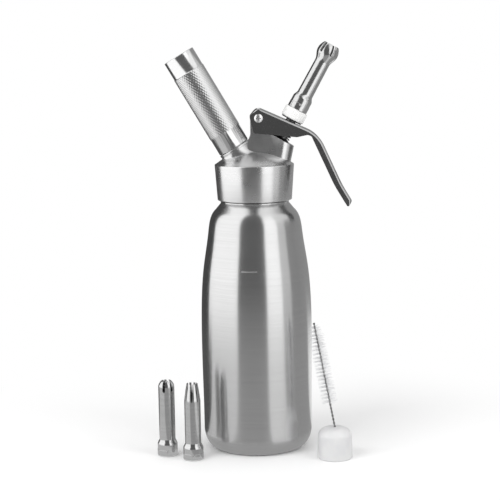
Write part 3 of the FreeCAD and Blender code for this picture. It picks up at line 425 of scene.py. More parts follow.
# %% Steel
def steel(name, tone, rough, spread=0.0, lines=1500.0, line_tone=0.08, line_bump=0.02, smear=0.05,
          lean=0.0, centre=(0.0, 0.0, 0.0), mark=False, satin=None):
    """Spread is how far the lines draw the light out to one side, and lean the tilt in degrees of the
    axis that they run round. Mark etches the fill line. Satin is (low, high, roughness) of a band
    along that axis."""
    material, tree, output = new_material(name)
    place = own_place(tree)
    if lean:
        turned_place = node(tree, "ShaderNodeMapping", Vector=place)
        turned_place.vector_type = "TEXTURE"
        turned_place.inputs["Location"].default_value = centre
        turned_place.inputs["Rotation"].default_value = (0.0, math.radians(lean), 0.0)
        place = turned_place.outputs[0]
    brushed = use_group(tree, fine_lines, place, Lines=lines)
    marks = use_group(tree, handling_marks, place)
    bright = grey(tone * (1 + line_tone))
    dim = grey(tone * (1 - line_tone))
    shade = ramp(tree, brushed.outputs["Tone"], 0.0, 1.0, 0.3, 0.7)
    colour = mixed(tree, shade, dim, bright)
    roughness = ramp(tree, marks.outputs["Mask"], rough - smear * 0.4, rough + smear * 0.6)
    if satin:
        low, high, satin_rough = satin
        along = node(tree, "ShaderNodeSeparateXYZ", Vector=place).outputs["Z"]
        inside = math_node(tree, "MULTIPLY", math_node(tree, "GREATER_THAN", along, low),
                           math_node(tree, "LESS_THAN", along, high))
        roughness = ramp(tree, inside, roughness, satin_rough)
    if mark:
        etched = fill_line(tree, place)
        colour = mixed(tree, etched, colour, grey(fill_line_tone))
        roughness = ramp(tree, etched, roughness, fill_line_rough)
    bump = node(tree, "ShaderNodeBump", Strength=line_bump, Distance=0.0002,
                Height=brushed.outputs["Height"])
    metal = node(tree, "ShaderNodeBsdfPrincipled", Base_Color=colour, Metallic=1.0,
                 Roughness=roughness, Normal=bump.outputs[0])
    if spread:
        metal.inputs["Anisotropic"].default_value = spread
        metal.inputs["Anisotropic Rotation"].default_value = 0.25
        round_axis = tree.nodes.new("ShaderNodeTangent")
        round_axis.direction_type = "RADIAL"
        round_axis.axis = "Z"
        plug(tree, metal, "Tangent", round_axis.outputs[0])
    plug(tree, output, "Surface", metal.outputs[0])
    return material


print("a steel uses the groups", [group.name for group in (fine_lines, handling_marks)])

# %% The steels of this object
charger_lean = -30.3
valve_lean = 29.0
lever_lean = 24.2
steels = {
    "bottle_steel": dict(tone=0.68, rough=0.25, spread=0.8, lines=2800.0, line_tone=0.045,
                         line_bump=0.004, smear=0.02, mark=True),
    "head_steel": dict(tone=0.74, rough=0.29, spread=0.5, line_tone=0.03, line_bump=0.008),
    "holder_steel": dict(tone=0.76, rough=0.17, lean=charger_lean, centre=(0, 0, 0.2362),
                         line_tone=0.03, line_bump=0.005, satin=(0.0501, 0.11, 0.24)),
    # The lever's grey sits below the other polished steel: painted shade for the dark that its sides show.
    "lever_steel": dict(tone=0.42, rough=0.14, lines=600.0, line_tone=0.02, line_bump=0.0),
    "nozzle_steel": dict(tone=0.64, rough=0.16, line_tone=0.04, line_bump=0.005),
    # The pin's grey is near white: a painted highlight for the light that its domed head catches.
    "pin_steel_painted_highlight": dict(tone=0.93, rough=0.3, line_bump=0.0),
    "spring_steel": dict(tone=0.16, rough=0.4),
    "valve_steel": dict(tone=0.60, rough=0.22),
    "charger_shell": dict(tone=0.55, rough=0.3, lean=charger_lean),
    "brush_wire_steel": dict(tone=0.34, rough=0.25),
}
finishes = {name: steel(name, **look) for name, look in steels.items()}
print("steel finishes:", len(finishes))

# %% [markdown]
# ## Brass, plastics and rubber
# The piercing pin is brass. The cap and the adapter are white plastic that lets a little light in, so
# they get some subsurface scattering. The seals and the bush are black, and the gasket is silicone.


# %% Brass, plastics and rubber
def brass():
    material, tree, output = new_material("pin_brass")
    place = own_place(tree)
    marks = use_group(tree, handling_marks, place, Size=300.0)
    colour = mixed(tree, marks.outputs["Mask"], (0.72, 0.52, 0.24, 1), (0.62, 0.43, 0.18, 1))
    rough = ramp(tree, marks.outputs["Mask"], 0.2, 0.34)
    metal = node(tree, "ShaderNodeBsdfPrincipled", Base_Color=colour, Metallic=1.0, Roughness=rough)
    plug(tree, output, "Surface", metal.outputs[0])
    return material


def plastic(name, colour, shade, rough=0.4, glow_through=0.0, grains=2500.0):
    """Moulded plastic or rubber, mottled between two near colours."""
    material, tree, output = new_material(name)
    speckle = use_group(tree, moulding_speckle, own_place(tree), Grains=grains)
    mottle = ramp(tree, speckle.outputs["Tone"], 0.0, 1.0, 0.35, 0.65)
    tint = mixed(tree, mottle, (*colour, 1), (*shade, 1))
    roughness = ramp(tree, speckle.outputs["Tone"], rough - 0.04, rough + 0.06)
    bump = node(tree, "ShaderNodeBump", Strength=0.05, Distance=0.0001, Height=speckle.outputs["Height"])
    body = node(tree, "ShaderNodeBsdfPrincipled", Base_Color=tint, Roughness=roughness,
                Normal=bump.outputs[0])
    if glow_through:
        body.inputs["Subsurface Weight"].default_value = glow_through
        body.inputs["Subsurface Radius"].default_value = (1.0, 1.0, 1.0)
        body.inputs["Subsurface Scale"].default_value = 0.004
    plug(tree, output, "Surface", body.outputs[0])
    return material


finishes["pin_brass"] = brass()
plastics = {
    "white_plastic": dict(colour=(0.86, 0.86, 0.85), shade=(0.82, 0.82, 0.81), glow_through=0.25),
    "cap_plastic": dict(colour=(0.75, 0.75, 0.75), shade=(0.71, 0.71, 0.72), rough=0.32, glow_through=0.7),
    "black_plastic": dict(colour=(0.022, 0.022, 0.023), shade=(0.016, 0.016, 0.017)),
    "black_rubber": dict(colour=(0.028, 0.028, 0.028), shade=(0.02, 0.02, 0.02), rough=0.6),
    "gasket_silicone": dict(colour=(0.62, 0.62, 0.60), shade=(0.56, 0.56, 0.54), rough=0.5,
                            glow_through=0.3),
    "bristle_nylon": dict(colour=(0.78, 0.78, 0.79), shade=(0.68, 0.68, 0.69), grains=900.0),
}
for name, look in plastics.items():
    finishes[name] = plastic(name, **look)
print("finishes in all:", len(finishes))

# %% [markdown]
# ## The CAD nodes keep their shapes
# Small and hidden pieces are right as they are: the seals, the stem, the nut, the bulb of gas. They
# only take a finish, by their material slot. A node that a new piece replaces below gets one too.

# %% Finish for every node
nodes_in = {
    "bottle_steel": "bottle", "head_steel": "head", "holder_steel": "charger_holder", "lever_steel": "lever",
    "nozzle_steel": "tulip_nozzle straight_nozzle pointed_nozzle", "pin_steel_painted_highlight": "lever_pin lever_pin_screw",
    "spring_steel": "valve_spring valve_stem", "valve_steel": "check_valve_ring valve_nut",
    "charger_shell": "gas_charger", "brush_wire_steel": "brush_wire", "pin_brass": "piercing_pin",
    "black_rubber": "charger_seal check_valve_flap stem_seal valve_disc adapter_washer",
    "black_plastic": "valve_guide_bush", "gasket_silicone": "head_gasket", "cap_plastic": "brush_cap",
    "white_plastic": "nozzle_adapter tulip_insert straight_insert pointed_insert",
    "bristle_nylon": "brush_bristles",
}
for finish, names in nodes_in.items():
    for name in names.split():
        cad_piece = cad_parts[name]
        if not cad_piece.material_slots:
            cad_piece.data.materials.append(None)
        for material_slot in cad_piece.material_slots:
            material_slot.material = finishes[finish]
print("nodes with a finish:", sum(len(names.split()) for names in nodes_in.values()))

# %% [markdown]
# ## Bench tools
# Nearly everything here was made on a lathe or from bent sheet. So the helpers turn an outline about
# the Z axis, wind a thread, and join or cut shapes. Each piece is modelled upright in millimetres,
# because those numbers are easy to read, and then it is stood in its place in metres.


# %% Turn an outline
def turned(outline, steps=128, closed=True):
    """Spins (radius, height) points about Z. An open outline starts and ends on the axis."""
    bm = bmesh.new()
    corners = [bm.verts.new((radius, 0.0, height)) for radius, height in outline]
    pairs = list(zip(corners, corners[1:]))
    if closed:
        pairs.append((corners[-1], corners[0]))
    edges = [bm.edges.new(pair) for pair in pairs]
    swept(bm, corners + edges, math.tau, steps, use_merge=True)
    bmesh.ops.remove_doubles(bm, verts=bm.verts, dist=0.0005)
    bmesh.ops.recalc_face_normals(bm, faces=bm.faces)
    return bm


def stepped(low, *steps, segments=48):
    """A bar along Z from (radius, how high it reaches) pairs. It also cuts a stepped bore."""
    outline = [(0, low)]
    for radius, high in steps:
        outline += [(radius, low), (radius, high)]
        low = high
    return turned(outline + [(0, low)], segments, closed=False)


def rod(radius, low, high, segments=48):
    return stepped(low, (radius, high), segments=segments)


print("a plain rod has", len(rod(1, 0, 2).faces), "faces")

# %% Smooth lines and arcs for the outlines
def smooth_line(points, leave, arrive, steps=12):
    """A curve through points with its directions at both ends, as short straight steps."""
    places = np.array(points, dtype=float)
    gaps = np.linalg.norm(np.diff(places, axis=0), axis=1)
    chords = np.diff(places, axis=0) / gaps[:, None]
    slopes = np.zeros_like(places)
    slopes[0] = np.array(leave) / np.linalg.norm(leave)
    slopes[-1] = np.array(arrive) / np.linalg.norm(arrive)
    system = np.eye(len(places))
    for i in range(1, len(places) - 1):
        system[i, i - 1:i + 2] = gaps[i], 2 * (gaps[i - 1] + gaps[i]), gaps[i - 1]
        slopes[i] = 3 * (gaps[i] * chords[i - 1] + gaps[i - 1] * chords[i])
    slopes = np.linalg.solve(system, slopes)
    line = [tuple(places[0])]
    for i, gap in enumerate(gaps):
        first = places[i] + slopes[i] * gap / 3
        last = places[i + 1] - slopes[i + 1] * gap / 3
        knots = [Vector((*knot, 0.0)) for knot in (places[i], first, last, places[i + 1])]
        line += [(p.x, p.y) for p in interpolate_bezier(*knots, steps + 1)[1:]]
    return line


def arc(middle, radius, start, end, steps=6):
    """Points on a circle between two angles in degrees, 0 outwards and 90 up."""
    angles = [math.radians(start + (end - start) * i / steps) for i in range(steps + 1)]
    return [(middle[0] + radius * math.cos(a), middle[1] + radius * math.sin(a)) for a in angles]


def rounded(corners, steps=8):
    """A closed outline from (x, z, corner radius)."""
    line = []
    for i, (x, z, radius) in enumerate(corners):
        here = Vector((x, z))
        back = (Vector(corners[i - 1][:2]) - here).normalized()
        ahead = (Vector(corners[(i + 1) % len(corners)][:2]) - here).normalized()
        half = back.angle(ahead) / 2
        middle = here + (back + ahead).normalized() * (radius / math.sin(half))
        first = here + back * (radius / math.tan(half)) - middle
        turn = (math.pi - 2 * half) * (1 if back.cross(ahead) < 0 else -1)
        for k in range(steps + 1 if radius else 1):
            line.append(tuple(middle + Matrix.Rotation(turn * k / steps, 2) @ first))
    return line


print("a quarter arc has", len(arc((0, 0), 1, 0, 90)), "points")

# %% Prisms, threads and wound wires
thread_sink = 0.25
thread_steps = 48


def corners_in(geom):
    return [item for item in geom if isinstance(item, bmesh.types.BMVert)]


def drawn_out(bm, way):
    """Draws a flat shape out into a solid."""
    drawn = bmesh.ops.extrude_face_region(bm, geom=bm.faces[:])["geom"]
    bmesh.ops.translate(bm, verts=corners_in(drawn), vec=way)
    bmesh.ops.recalc_face_normals(bm, faces=bm.faces)
    return bm


def prism(outline, half_width):
    """A flat shape in the XZ plane, as wide to the front as to the back."""
    bm = bmesh.new()
    bm.faces.new([bm.verts.new((x, -half_width, z)) for x, z in outline])
    return drawn_out(bm, (0, 2 * half_width, 0))


def turn_about_z(bm, angle, corners=None):
    bmesh.ops.rotate(bm, verts=corners or bm.verts, cent=(0, 0, 0), matrix=Matrix.Rotation(angle, 3, "Z"))


def closed_up(bm):
    """Fills the open ends and turns every face outwards."""
    bmesh.ops.holes_fill(bm, edges=[e for e in bm.edges if e.is_boundary], sides=0)
    bmesh.ops.recalc_face_normals(bm, faces=bm.faces)
    return bm


def wound(bm, turns, steps, rise):
    """Winds a flat face about Z while it rises."""
    swept(bm, bm.faces[:] + bm.edges[:] + bm.verts[:], math.tau * turns, steps, dvec=(0, 0, rise / steps))
    return closed_up(bm)


def ridge(radius, depth, root, crest, lead, low, turns, start=0.0):
    """A screw thread's ridge. Its foot is sunk a little, so that it joins what it stands on."""
    sunk = radius - thread_sink
    profile = [(sunk, -root / 2), (radius + depth, -crest / 2), (radius + depth, crest / 2), (sunk, root / 2)]
    bm = bmesh.new()
    bm.faces.new([bm.verts.new((r, 0.0, low + z)) for r, z in profile])
    wound(bm, turns, round(thread_steps * turns), lead * turns)
    turn_about_z(bm, math.radians(start))
    return bm


print("one turn of thread has", len(ridge(10, 1, 2, 1, 3, 0, 1).faces), "faces")

# %% Join, cut and round
shortest_edge = 0.0008


def as_object(bm):
    mesh = bpy.data.meshes.new("bench")
    bm.to_mesh(mesh)
    bm.free()
    piece = bpy.data.objects.new("bench", mesh)
    scene.collection.objects.link(piece)
    return piece


def combined(bm, others, operation="UNION"):
    """Adds or takes away shapes one after another."""
    for other in others:
        piece, tool = as_object(bm), as_object(other)
        work = piece.modifiers.new("work", "BOOLEAN")
        work.operation = operation
        work.solver = "EXACT"
        work.object = tool
        ready = piece.evaluated_get(bpy.context.evaluated_depsgraph_get())
        bm = bmesh.new()
        bm.from_mesh(ready.to_mesh())
        ready.to_mesh_clear()
        for spent in (piece, tool):
            mesh = spent.data
            bpy.data.objects.remove(spent)
            bpy.data.meshes.remove(mesh)
    bmesh.ops.dissolve_degenerate(bm, dist=shortest_edge, edges=bm.edges)
    return bm


def bevelled(bm, edges, offset, segments, clamp=False):
    """Rounds edges. The operator's defaults differ from the editor's, so each setting is given."""
    return bmesh.ops.bevel(bm, geom=edges, affect="EDGES", offset=offset, offset_type="OFFSET",
                           segments=segments, profile=0.5, clamp_overlap=clamp, material=-1)


def soften(bm, width, limit, segments):
    """Takes the sharpness off every edge that turns by more than the limit in degrees."""
    sharp = [e for e in bm.edges if len(e.link_faces) == 2 and e.calc_face_angle() > math.radians(limit)]
    bevelled(bm, sharp, width, segments, clamp=True)


print("two rods joined have", len(combined(rod(1, 0, 2), [rod(2, 1, 3)]).faces), "faces")

# %% Stand a piece in its place
# A piece that was made along Z is laid down so that its top faces the front.
to_front = Matrix.Rotation(math.pi / 2, 4, "X")


def leaned(angle, foot=(0.0, 0.0, 0.0)):
    """Where a piece stands: leaned in the XZ plane by degrees, its foot in millimetres."""
    return Matrix.Translation(foot) @ Matrix.Rotation(math.radians(angle), 4, "Y")


def moved(bm, place):
    bm.transform(place)
    return bm


def set_up(name, bm, slot, body, *nodes, sharp=32.0, finish=None, flat_sided=False):
    """Brings a finished shape to metres and hands it to the frame. On a flat-sided piece the large
    faces set the shading, so that they stay flat beside a rounded edge."""
    bm.transform(Matrix.Scale(0.001, 4))
    mesh = bpy.data.meshes.new(name)
    bm.to_mesh(mesh)
    bm.free()
    mesh.shade_smooth()
    mesh.set_sharp_from_angle(angle=math.radians(sharp))
    mesh.materials.append(finishes[finish or slot])
    piece = bpy.data.objects.new(name, mesh)
    scene.collection.objects.link(piece)
    if flat_sided:
        weights = piece.modifiers.new("flat faces first", "WEIGHTED_NORMAL")
        weights.keep_sharp = True
        weights.weight = 100
    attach(piece, body)
    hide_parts(*nodes)
    print(f"{name}: {len(mesh.polygons)} faces")
    return piece


lean_example = leaned(30) @ Vector((0, 0, 10))
print("leaned by 30 degrees, the top of 10 mm is at", [round(v, 2) for v in lean_example])

# %% [markdown]
# ## The bottle
# The bottle is spun from sheet, so its whole shape is one outline turned about its axis: a ring to
# stand on, a round foot, sides that bulge very slightly, a long soft shoulder and a rolled mouth. The
# outline runs up the outside and down the inside, which gives the wall its thickness.

# %% Bottle
bottle_wall = 1.2
foot_hollow = 3.0
foot_hollow_radius = 33.0
foot_edge = 38.0
mouth_height = 240.0
mouth_radius = 24.6
mouth_round = 0.8
neck_radius = 27.6
neck_band_foot = 218.0
neck_band_radius = 30.0
thread_lead = 8.0
# Radius and height of points up the side, and how far each millimetre of wall moves them in and down.
side_points = ((48.0, 16.0, 1.0, 0.0), (48.6, 120.0, 1.0, 0.0), (45.8, 162.0, 1.0, 0.0),
               (41.4, 191.0, 0.97, 0.2), (34.3, 212.0, 0.85, 0.5))


def bottle_side(inset):
    """The outside from the foot to the neck, or the inside when it is moved in by the wall."""
    side = [(radius - inset * inward, height - inset * down) for radius, height, inward, down in side_points]
    foot = smooth_line([(foot_edge - inset, inset), side[0]], (1, 0), (0, 1), 14)
    return foot + smooth_line(side, (0, 1), (-0.75, 0.66), 12)[1:]


def make_bottle():
    bore = neck_radius - bottle_wall
    floor = foot_hollow + bottle_wall
    outside = [(0, foot_hollow), (foot_hollow_radius, foot_hollow)]
    outside += arc((35.3, 0.4), 0.4, 200, 270, 4) + bottle_side(0)
    band = [(neck_band_radius - 0.4, neck_band_foot - 0.3)]
    band += arc((neck_band_radius - 0.5, neck_band_foot + 0.5), 0.5, -30, 0, 2)
    band += arc((neck_band_radius - 0.5, neck_band_foot + 1.0), 0.5, 0, 90, 4)
    band += [(neck_radius + 0.3, neck_band_foot + 1.5), (neck_radius, neck_band_foot + 1.9)]
    mouth = arc((neck_radius - mouth_round, mouth_height - mouth_round), mouth_round, 0, 90)
    mouth += arc((mouth_radius + mouth_round, mouth_height - mouth_round), mouth_round, 90, 180)
    mouth += [(mouth_radius, mouth_height - 1.0), (mouth_radius + 0.2, mouth_height - 1.8)]
    inside = [(bore, mouth_height - 2.7), (bore, neck_band_foot - bottle_wall)]
    inside += bottle_side(bottle_wall)[::-1] + [(foot_hollow_radius, floor), (0, floor)]
    bottle = turned(outside + band + mouth + inside, steps=160, closed=False)
    threads = [ridge(neck_radius, 1.15, 1.8, 0.9, thread_lead, 222.0, 1.25, start) for start in (0, 180)]
    return combined(bottle, threads)


set_up("bottle_body", make_bottle(), "bottle_steel", "bottle", "bottle")

# %% [markdown]
# ## The head
# The head is one heavy casting that was turned and milled. Its collar and its low dome come from an
# outline. The boss for the gas holder leans one way and flows into the dome, and a flat-sided block
# with a round end leans the other way and carries the lever's pin. They are joined as solids, and then
# the bores and the threads are cut.

# %% Sizes that the head, the holder, the valve and the lever share
crown_top = 263.1
ceiling = 243.02
dome_radius = 54.7
collar_radius = 34.6
charger_foot = (0.0, 0.0, 236.2)
valve_foot = (0.0, 0.0, 229.8)
turret_top = 48.8
block_half = 10.4
block_lean = 12.2
pin_reach = 26.2
pin_along = 55.8
pin_hole_radius = 2.55
on_charger = leaned(charger_lean, charger_foot)
on_valve = leaned(valve_lean, valve_foot)
pin_place = on_valve @ Vector((-pin_reach, 0.0, pin_along))
on_pin = leaned(lever_lean, pin_place)
print("lever pin at", [round(v, 2) for v in pin_place])


def pin_way(place):
    """What cuts the hole for the lever's pin, straight through from front to back."""
    return moved(rod(pin_hole_radius, -20, 20), place @ to_front)


# %% Head: collar and dome
gasket_room = 28.8
gasket_foot = 239.4
collar_bore = 28.3
collar_foot = 220.2
collar_round = 0.9


def dome_height(radius):
    return crown_top - dome_radius + math.sqrt(dome_radius ** 2 - radius ** 2)


def make_collar():
    """The collar's wall and the dome over it, open below."""
    edge = collar_radius - collar_round
    room = [(0, ceiling), (gasket_room, ceiling), (gasket_room, gasket_foot), (collar_bore, gasket_foot),
            (collar_bore, collar_foot + 0.4), (collar_bore + 0.4, collar_foot)]
    rim = arc((31.9, collar_foot + 0.6), 0.6, 270, 355, 4)
    side = arc((edge, dome_height(edge) - collar_round), collar_round, 0, 70, 5)
    dome = [(r, dome_height(r)) for r in np.linspace(collar_radius - 1.3, 0.0, 24)]
    return turned(room + rim + side + dome, 160, closed=False)


print("the dome ends at", round(dome_height(collar_radius), 2))

# %% Head: boss
boss_foot = 22.0
boss_radius = 14.0
boss_top = 34.0
stub_radius = 10.4
stub_top = 54.6


def make_boss():
    """The leaning boss, flared where it flows into the dome, with the stub for the holder."""
    outline = [(0, boss_foot)]
    outline += smooth_line([(17.6, boss_foot), (boss_radius, 30.5)], (-0.8, 0.6), (0, 1), 8)
    outline += [(boss_radius, boss_top - 2.0), (boss_radius + 0.3, boss_top - 1.7)]
    outline += arc((boss_radius - 0.1, boss_top - 0.4), 0.4, 0, 90, 4) + [(stub_radius, boss_top)]
    outline += [(stub_radius, stub_top - 0.5), (stub_radius - 0.5, stub_top), (0, stub_top)]
    thread = ridge(stub_radius, 0.9, 1.5, 0.7, 3.0, 38.0, 4.0)
    return moved(combined(turned(outline, 96, closed=False), [thread]), on_charger)


def make_boss_skirt():
    """The boss's outline drawn straight down into the dome."""
    bm = bmesh.new()
    bmesh.ops.create_circle(bm, cap_ends=True, segments=96, radius=boss_radius - 0.1,
                            matrix=Matrix.Translation((0, 0, boss_top - 2.5)))
    return drawn_out(moved(bm, on_charger), (0, 0, -9.5))


print("the boss's top is at", [round(v, 2) for v in on_charger @ Vector((0, 0, boss_top))])

# %% Head: valve block
def valve_point(across, along):
    place = on_valve @ Vector((across, 0.0, along))
    return place.x, place.z


def make_valve_block():
    """A side view given its width. Its two right edges are rounded until they meet as a round end."""
    lug = 6.0
    stop = (-9.6, turret_top)
    reach = (stop[0] + pin_reach, stop[1] - pin_along)
    bearing = math.atan2(reach[1], reach[0]) + math.acos(lug / math.hypot(*reach))
    touch = math.degrees(bearing) - valve_lean
    end_x, end_z = valve_point(1.8, turret_top)
    foot_z = ceiling + 2.0
    lean = math.radians(block_lean)
    axis_x = end_x - (end_z - foot_z) * math.tan(lean)
    top_reach = block_half / math.cos(math.radians(valve_lean - block_lean))
    top_right = valve_point(1.8 + top_reach, turret_top)
    low_right = (axis_x + block_half / math.cos(lean), foot_z)
    left = pin_place.x - 7.2
    outline = arc((pin_place.x, pin_place.z), lug, 150, touch, 14)
    outline += [valve_point(*stop), top_right, low_right, (left - 2.6, foot_z), (left - 2.6, crown_top + 6)]
    outline += smooth_line([(left - 2.6, crown_top + 6), (left, crown_top + 14)], (0.1, 1), (0, 1), 6)[1:]
    outline += [(left, pin_place.z)]
    block = prism(outline, block_half)
    ends = [Vector((x, 0, z)) for x, z in (top_right, low_right)]
    round_edges = [e for e in block.edges
                   if all(min((Vector((v.co.x, 0, v.co.z)) - end).length for end in ends) < 0.01
                          for v in e.verts) and abs(e.verts[0].co.y - e.verts[1].co.y) < 0.01]
    bevelled(block, round_edges, block_half - 0.02, 20)
    soften(block, 0.45, limit=35, segments=3)
    flare = smooth_line([(block_half + 1.7, 0), (block_half - 0.1, 4.6)], (-0.7, 0.5), (0, 1), 7)
    skirt_foot = 252.6
    skirt_x = end_x - (end_z - skirt_foot) * math.tan(lean)
    skirt = turned([(0, -1.5), (block_half + 1.7, -1.5)] + flare + [(0, 4.6)], 72, closed=False)
    return combined(block, [moved(skirt, leaned(block_lean, (skirt_x, 0, skirt_foot)))])


print("the block ends in a round of", block_half, "mm at", [round(v, 2) for v in valve_point(0, turret_top)])

# %% Head: bores and threads
# Each bore is a row of (radius, how high this radius reaches) along its own axis.
valve_bore = ((6.9, 22), (5.4, 38), (4.55, 42.06), (6.55, 50))
gas_bore = ((1.4, 39.6), (3.15, 46.6), (4.8, 56))
check_radius = 3.95
check_depth = 3.8


def make_head():
    head = combined(make_collar(), [make_boss_skirt(), make_boss(), make_valve_block()])
    check_x = (ceiling - charger_foot[2]) * math.tan(math.radians(charger_lean))
    check = moved(rod(check_radius, -4, check_depth), Matrix.Translation((check_x, 0, ceiling)))
    grooves = [ridge(collar_bore, 0.85, 2.6, 1.7, thread_lead, 214.0, 2.85, start) for start in (0, 180)]
    cuts = [moved(stepped(5, *valve_bore), on_valve), moved(stepped(6, *gas_bore), on_charger), check,
            pin_way(Matrix.Translation(pin_place)), *grooves]
    return combined(head, cuts, "DIFFERENCE")


set_up("head_casting", make_head(), "head_steel", "head", "head", sharp=28)

# %% [markdown]
# ## The gas holder
# The holder is a turned tube with two plain bands and a long grip between them. The grip has a fine
# slanting knurl. A knurl tool presses two sets of slanting grooves, one deeper than the other, so the
# points between the bands are moved in by two waves that wind round the tube in opposite directions.

# %% Holder
holder_foot = 34.6
holder_top = 126.6
holder_bore = 11.6
bore_top = 55.8
bulb_radius = 9.2
band_radius = 14.1
band_round = 0.5
grip_radius = 14.5
grip_low = 50.2
grip_high = 109.9
knurl_rows = 140
knurl_grooves = 40
knurl_depth = 0.3
knurl_slant = 30.0
deep_share = 0.75
points_per_groove = 7


def knurl(holder):
    """Moves the grip's points in by two waves, which share the depth of the grooves."""
    slant = math.tan(math.radians(knurl_slant)) / grip_radius
    for corner in holder.verts:
        radius = math.hypot(corner.co.x, corner.co.y)
        if radius > grip_radius - 0.1 and grip_low < corner.co.z < grip_high:
            angle = math.atan2(corner.co.y, corner.co.x)
            turn = slant * (corner.co.z - grip_low)
            deep = math.cos(knurl_grooves * (angle + turn))
            shallow = math.cos(knurl_grooves * (angle - turn))
            wave = deep_share * deep + (1 - deep_share) * shallow
            share = 1 - knurl_depth * (0.5 - 0.5 * wave) / radius
            corner.co.x *= share
            corner.co.y *= share


def make_holder():
    outline = arc((0, 105.2), bulb_radius, 90, 0, 12)
    outline += [(bulb_radius, bore_top), (holder_bore, bore_top), (holder_bore, holder_foot + 0.3),
                (holder_bore + 0.3, holder_foot)]
    outline += arc((band_radius - band_round, holder_foot + band_round), band_round, 270, 360, 4)
    outline += [(band_radius, grip_low - 0.6)]
    outline += [(grip_radius, z) for z in np.linspace(grip_low, grip_high, knurl_rows)]
    outline += [(band_radius, grip_high + 0.5)]
    outline += arc((band_radius - band_round, holder_top - band_round), band_round, 0, 90, 4)
    holder = turned(outline + [(0, holder_top)], steps=points_per_groove * knurl_grooves, closed=False)
    knurl(holder)
    return moved(holder, on_charger)


set_up("gas_holder", make_holder(), "holder_steel", "holder", "charger_holder", sharp=40)

# %% [markdown]
# ## The lever
# The lever is pressed from one sheet: a channel whose web lies under the nozzle and whose long handle
# curves down beside the bottle. The side view is given the full width and its two long bends are
# rounded. Then the room inside the channel is cut out, so that only the sheet's thickness is left.

# %% Lever
lever_half = 12.2
sheet = 1.5
web = 8.0
bend_radius = 2.4
knee_past_stem = 27.1
handle_length = 48.5
handle_down = 41.3
handle_depth = 6.2
tip_length = 16.5
tip_down = 35.0
arch_drop = 4.2
slot_ahead = 5.3
slot_behind = 6.3
slot_half = 4.9
slot_corner = 4.85


def lever_side():
    """The side view as (x, z, corner radius), from the ear's foot over the web and back underneath."""
    down, tip = math.radians(handle_down), math.radians(tip_down)
    mean = (down + tip) / 2
    knee = pin_reach + knee_past_stem
    flare = (knee + handle_length * math.cos(down), web - handle_length * math.sin(down))
    end = (flare[0] + tip_length * math.cos(tip), flare[1] - tip_length * math.sin(tip))
    under = (flare[0] - handle_depth * math.sin(mean), flare[1] - handle_depth * math.cos(mean))
    arch = web - arch_drop
    inner_knee = under[0] - (arch - under[1]) / math.tan(down)
    return [(1.5, -13.5, 1.2), (-7.6, -2.0, 2.5), (-5.2, web, 5.5), (knee, web, 27.9), (*flare, 90.0),
            (*end, 2.9), (end[0] - handle_depth * math.sin(mean) * 0.35, end[1] - handle_depth * 1.05, 1.2),
            (*under, 90.0), (inner_knee, arch, 5.0), (pin_reach + 18.6, arch, 4.0),
            (pin_reach + 10.8, -1.8, 5.0), (16.0, -8.6, 20.0)]


def round_bends(bm, path, radius):
    """Rounds the long edges of both sides where they follow a path."""
    places = {(round(x, 4), round(z, 4)) for x, z in path}
    bends = [e for e in bm.edges if abs(e.verts[0].co.y - e.verts[1].co.y) < 0.01
             and all((round(v.co.x, 4), round(v.co.z, 4)) in places for v in e.verts)]
    bevelled(bm, bends, radius, 7)
    bmesh.ops.recalc_face_normals(bm, faces=bm.faces)
    return bm


def channel_room(path):
    """The room inside the channel: the path moved in by the sheet, then drawn out below the lever."""
    inner, outward = [], []
    for i, here in enumerate(path):
        ahead = Vector(path[min(i + 1, len(path) - 1)]) - Vector(path[max(i - 1, 0)])
        inward = Vector((ahead.y, -ahead.x)).normalized()
        inner.append(tuple(Vector(here) + inward * sheet))
        outward.append(tuple(Vector(here) - inward * 3.0))
    below = [outward[-1], (outward[-1][0], -90.0), (-30.0, -90.0), (-30.0, outward[0][1]), outward[0]]
    return round_bends(prism(inner + below, lever_half - sheet), inner, bend_radius - sheet)


def make_lever():
    """Every corner of the side view has the same number of steps, so its points can be counted."""
    corner_steps = 10
    corner = corner_steps + 1
    outline = rounded(lever_side(), corner_steps)
    lever = round_bends(prism(outline, lever_half), outline[2 * corner:6 * corner], bend_radius)
    room = channel_room(outline[2 * corner + corner_steps // 2:6 * corner + 1])
    web_lean = math.radians(valve_lean - lever_lean)
    rise = (web - sheet / 2) / math.cos(web_lean) + pin_reach * math.tan(web_lean)
    middle = pin_reach * math.cos(web_lean) + rise * math.sin(web_lean)
    sides = [(middle - slot_behind, -slot_half), (middle + slot_ahead, -slot_half),
             (middle + slot_ahead, slot_half), (middle - slot_behind, slot_half)]
    slot = prism(rounded([(*side, slot_corner) for side in sides], 10), 6.0)
    moved(slot, Matrix.Translation((0, 0, web)) @ to_front)
    return moved(combined(lever, [room, slot, pin_way(Matrix())], "DIFFERENCE"), on_pin)


set_up("lever_pressing", make_lever(), "lever_steel", "lever", "lever", sharp=35, flat_sided=True)

# %% [markdown]
# ## The pin that the lever turns on
# The pin's head is a low dome with a cross-shaped recess, so it catches light from all round, and its
# steel is painted near white as a painted highlight; together they make it the brightest spot on the
# lever. A dome is an arc turned about the pin's axis, and two bars cut the cross.

# %% Lever pin
pin_radius = 2.5
pin_back = -12.2
pin_face = 12.5
pin_head_radius = 3.7
pin_dome_radius = 6.4
cross_arm = (4.4, 0.9, 1.4)
cross_turn = 20.0


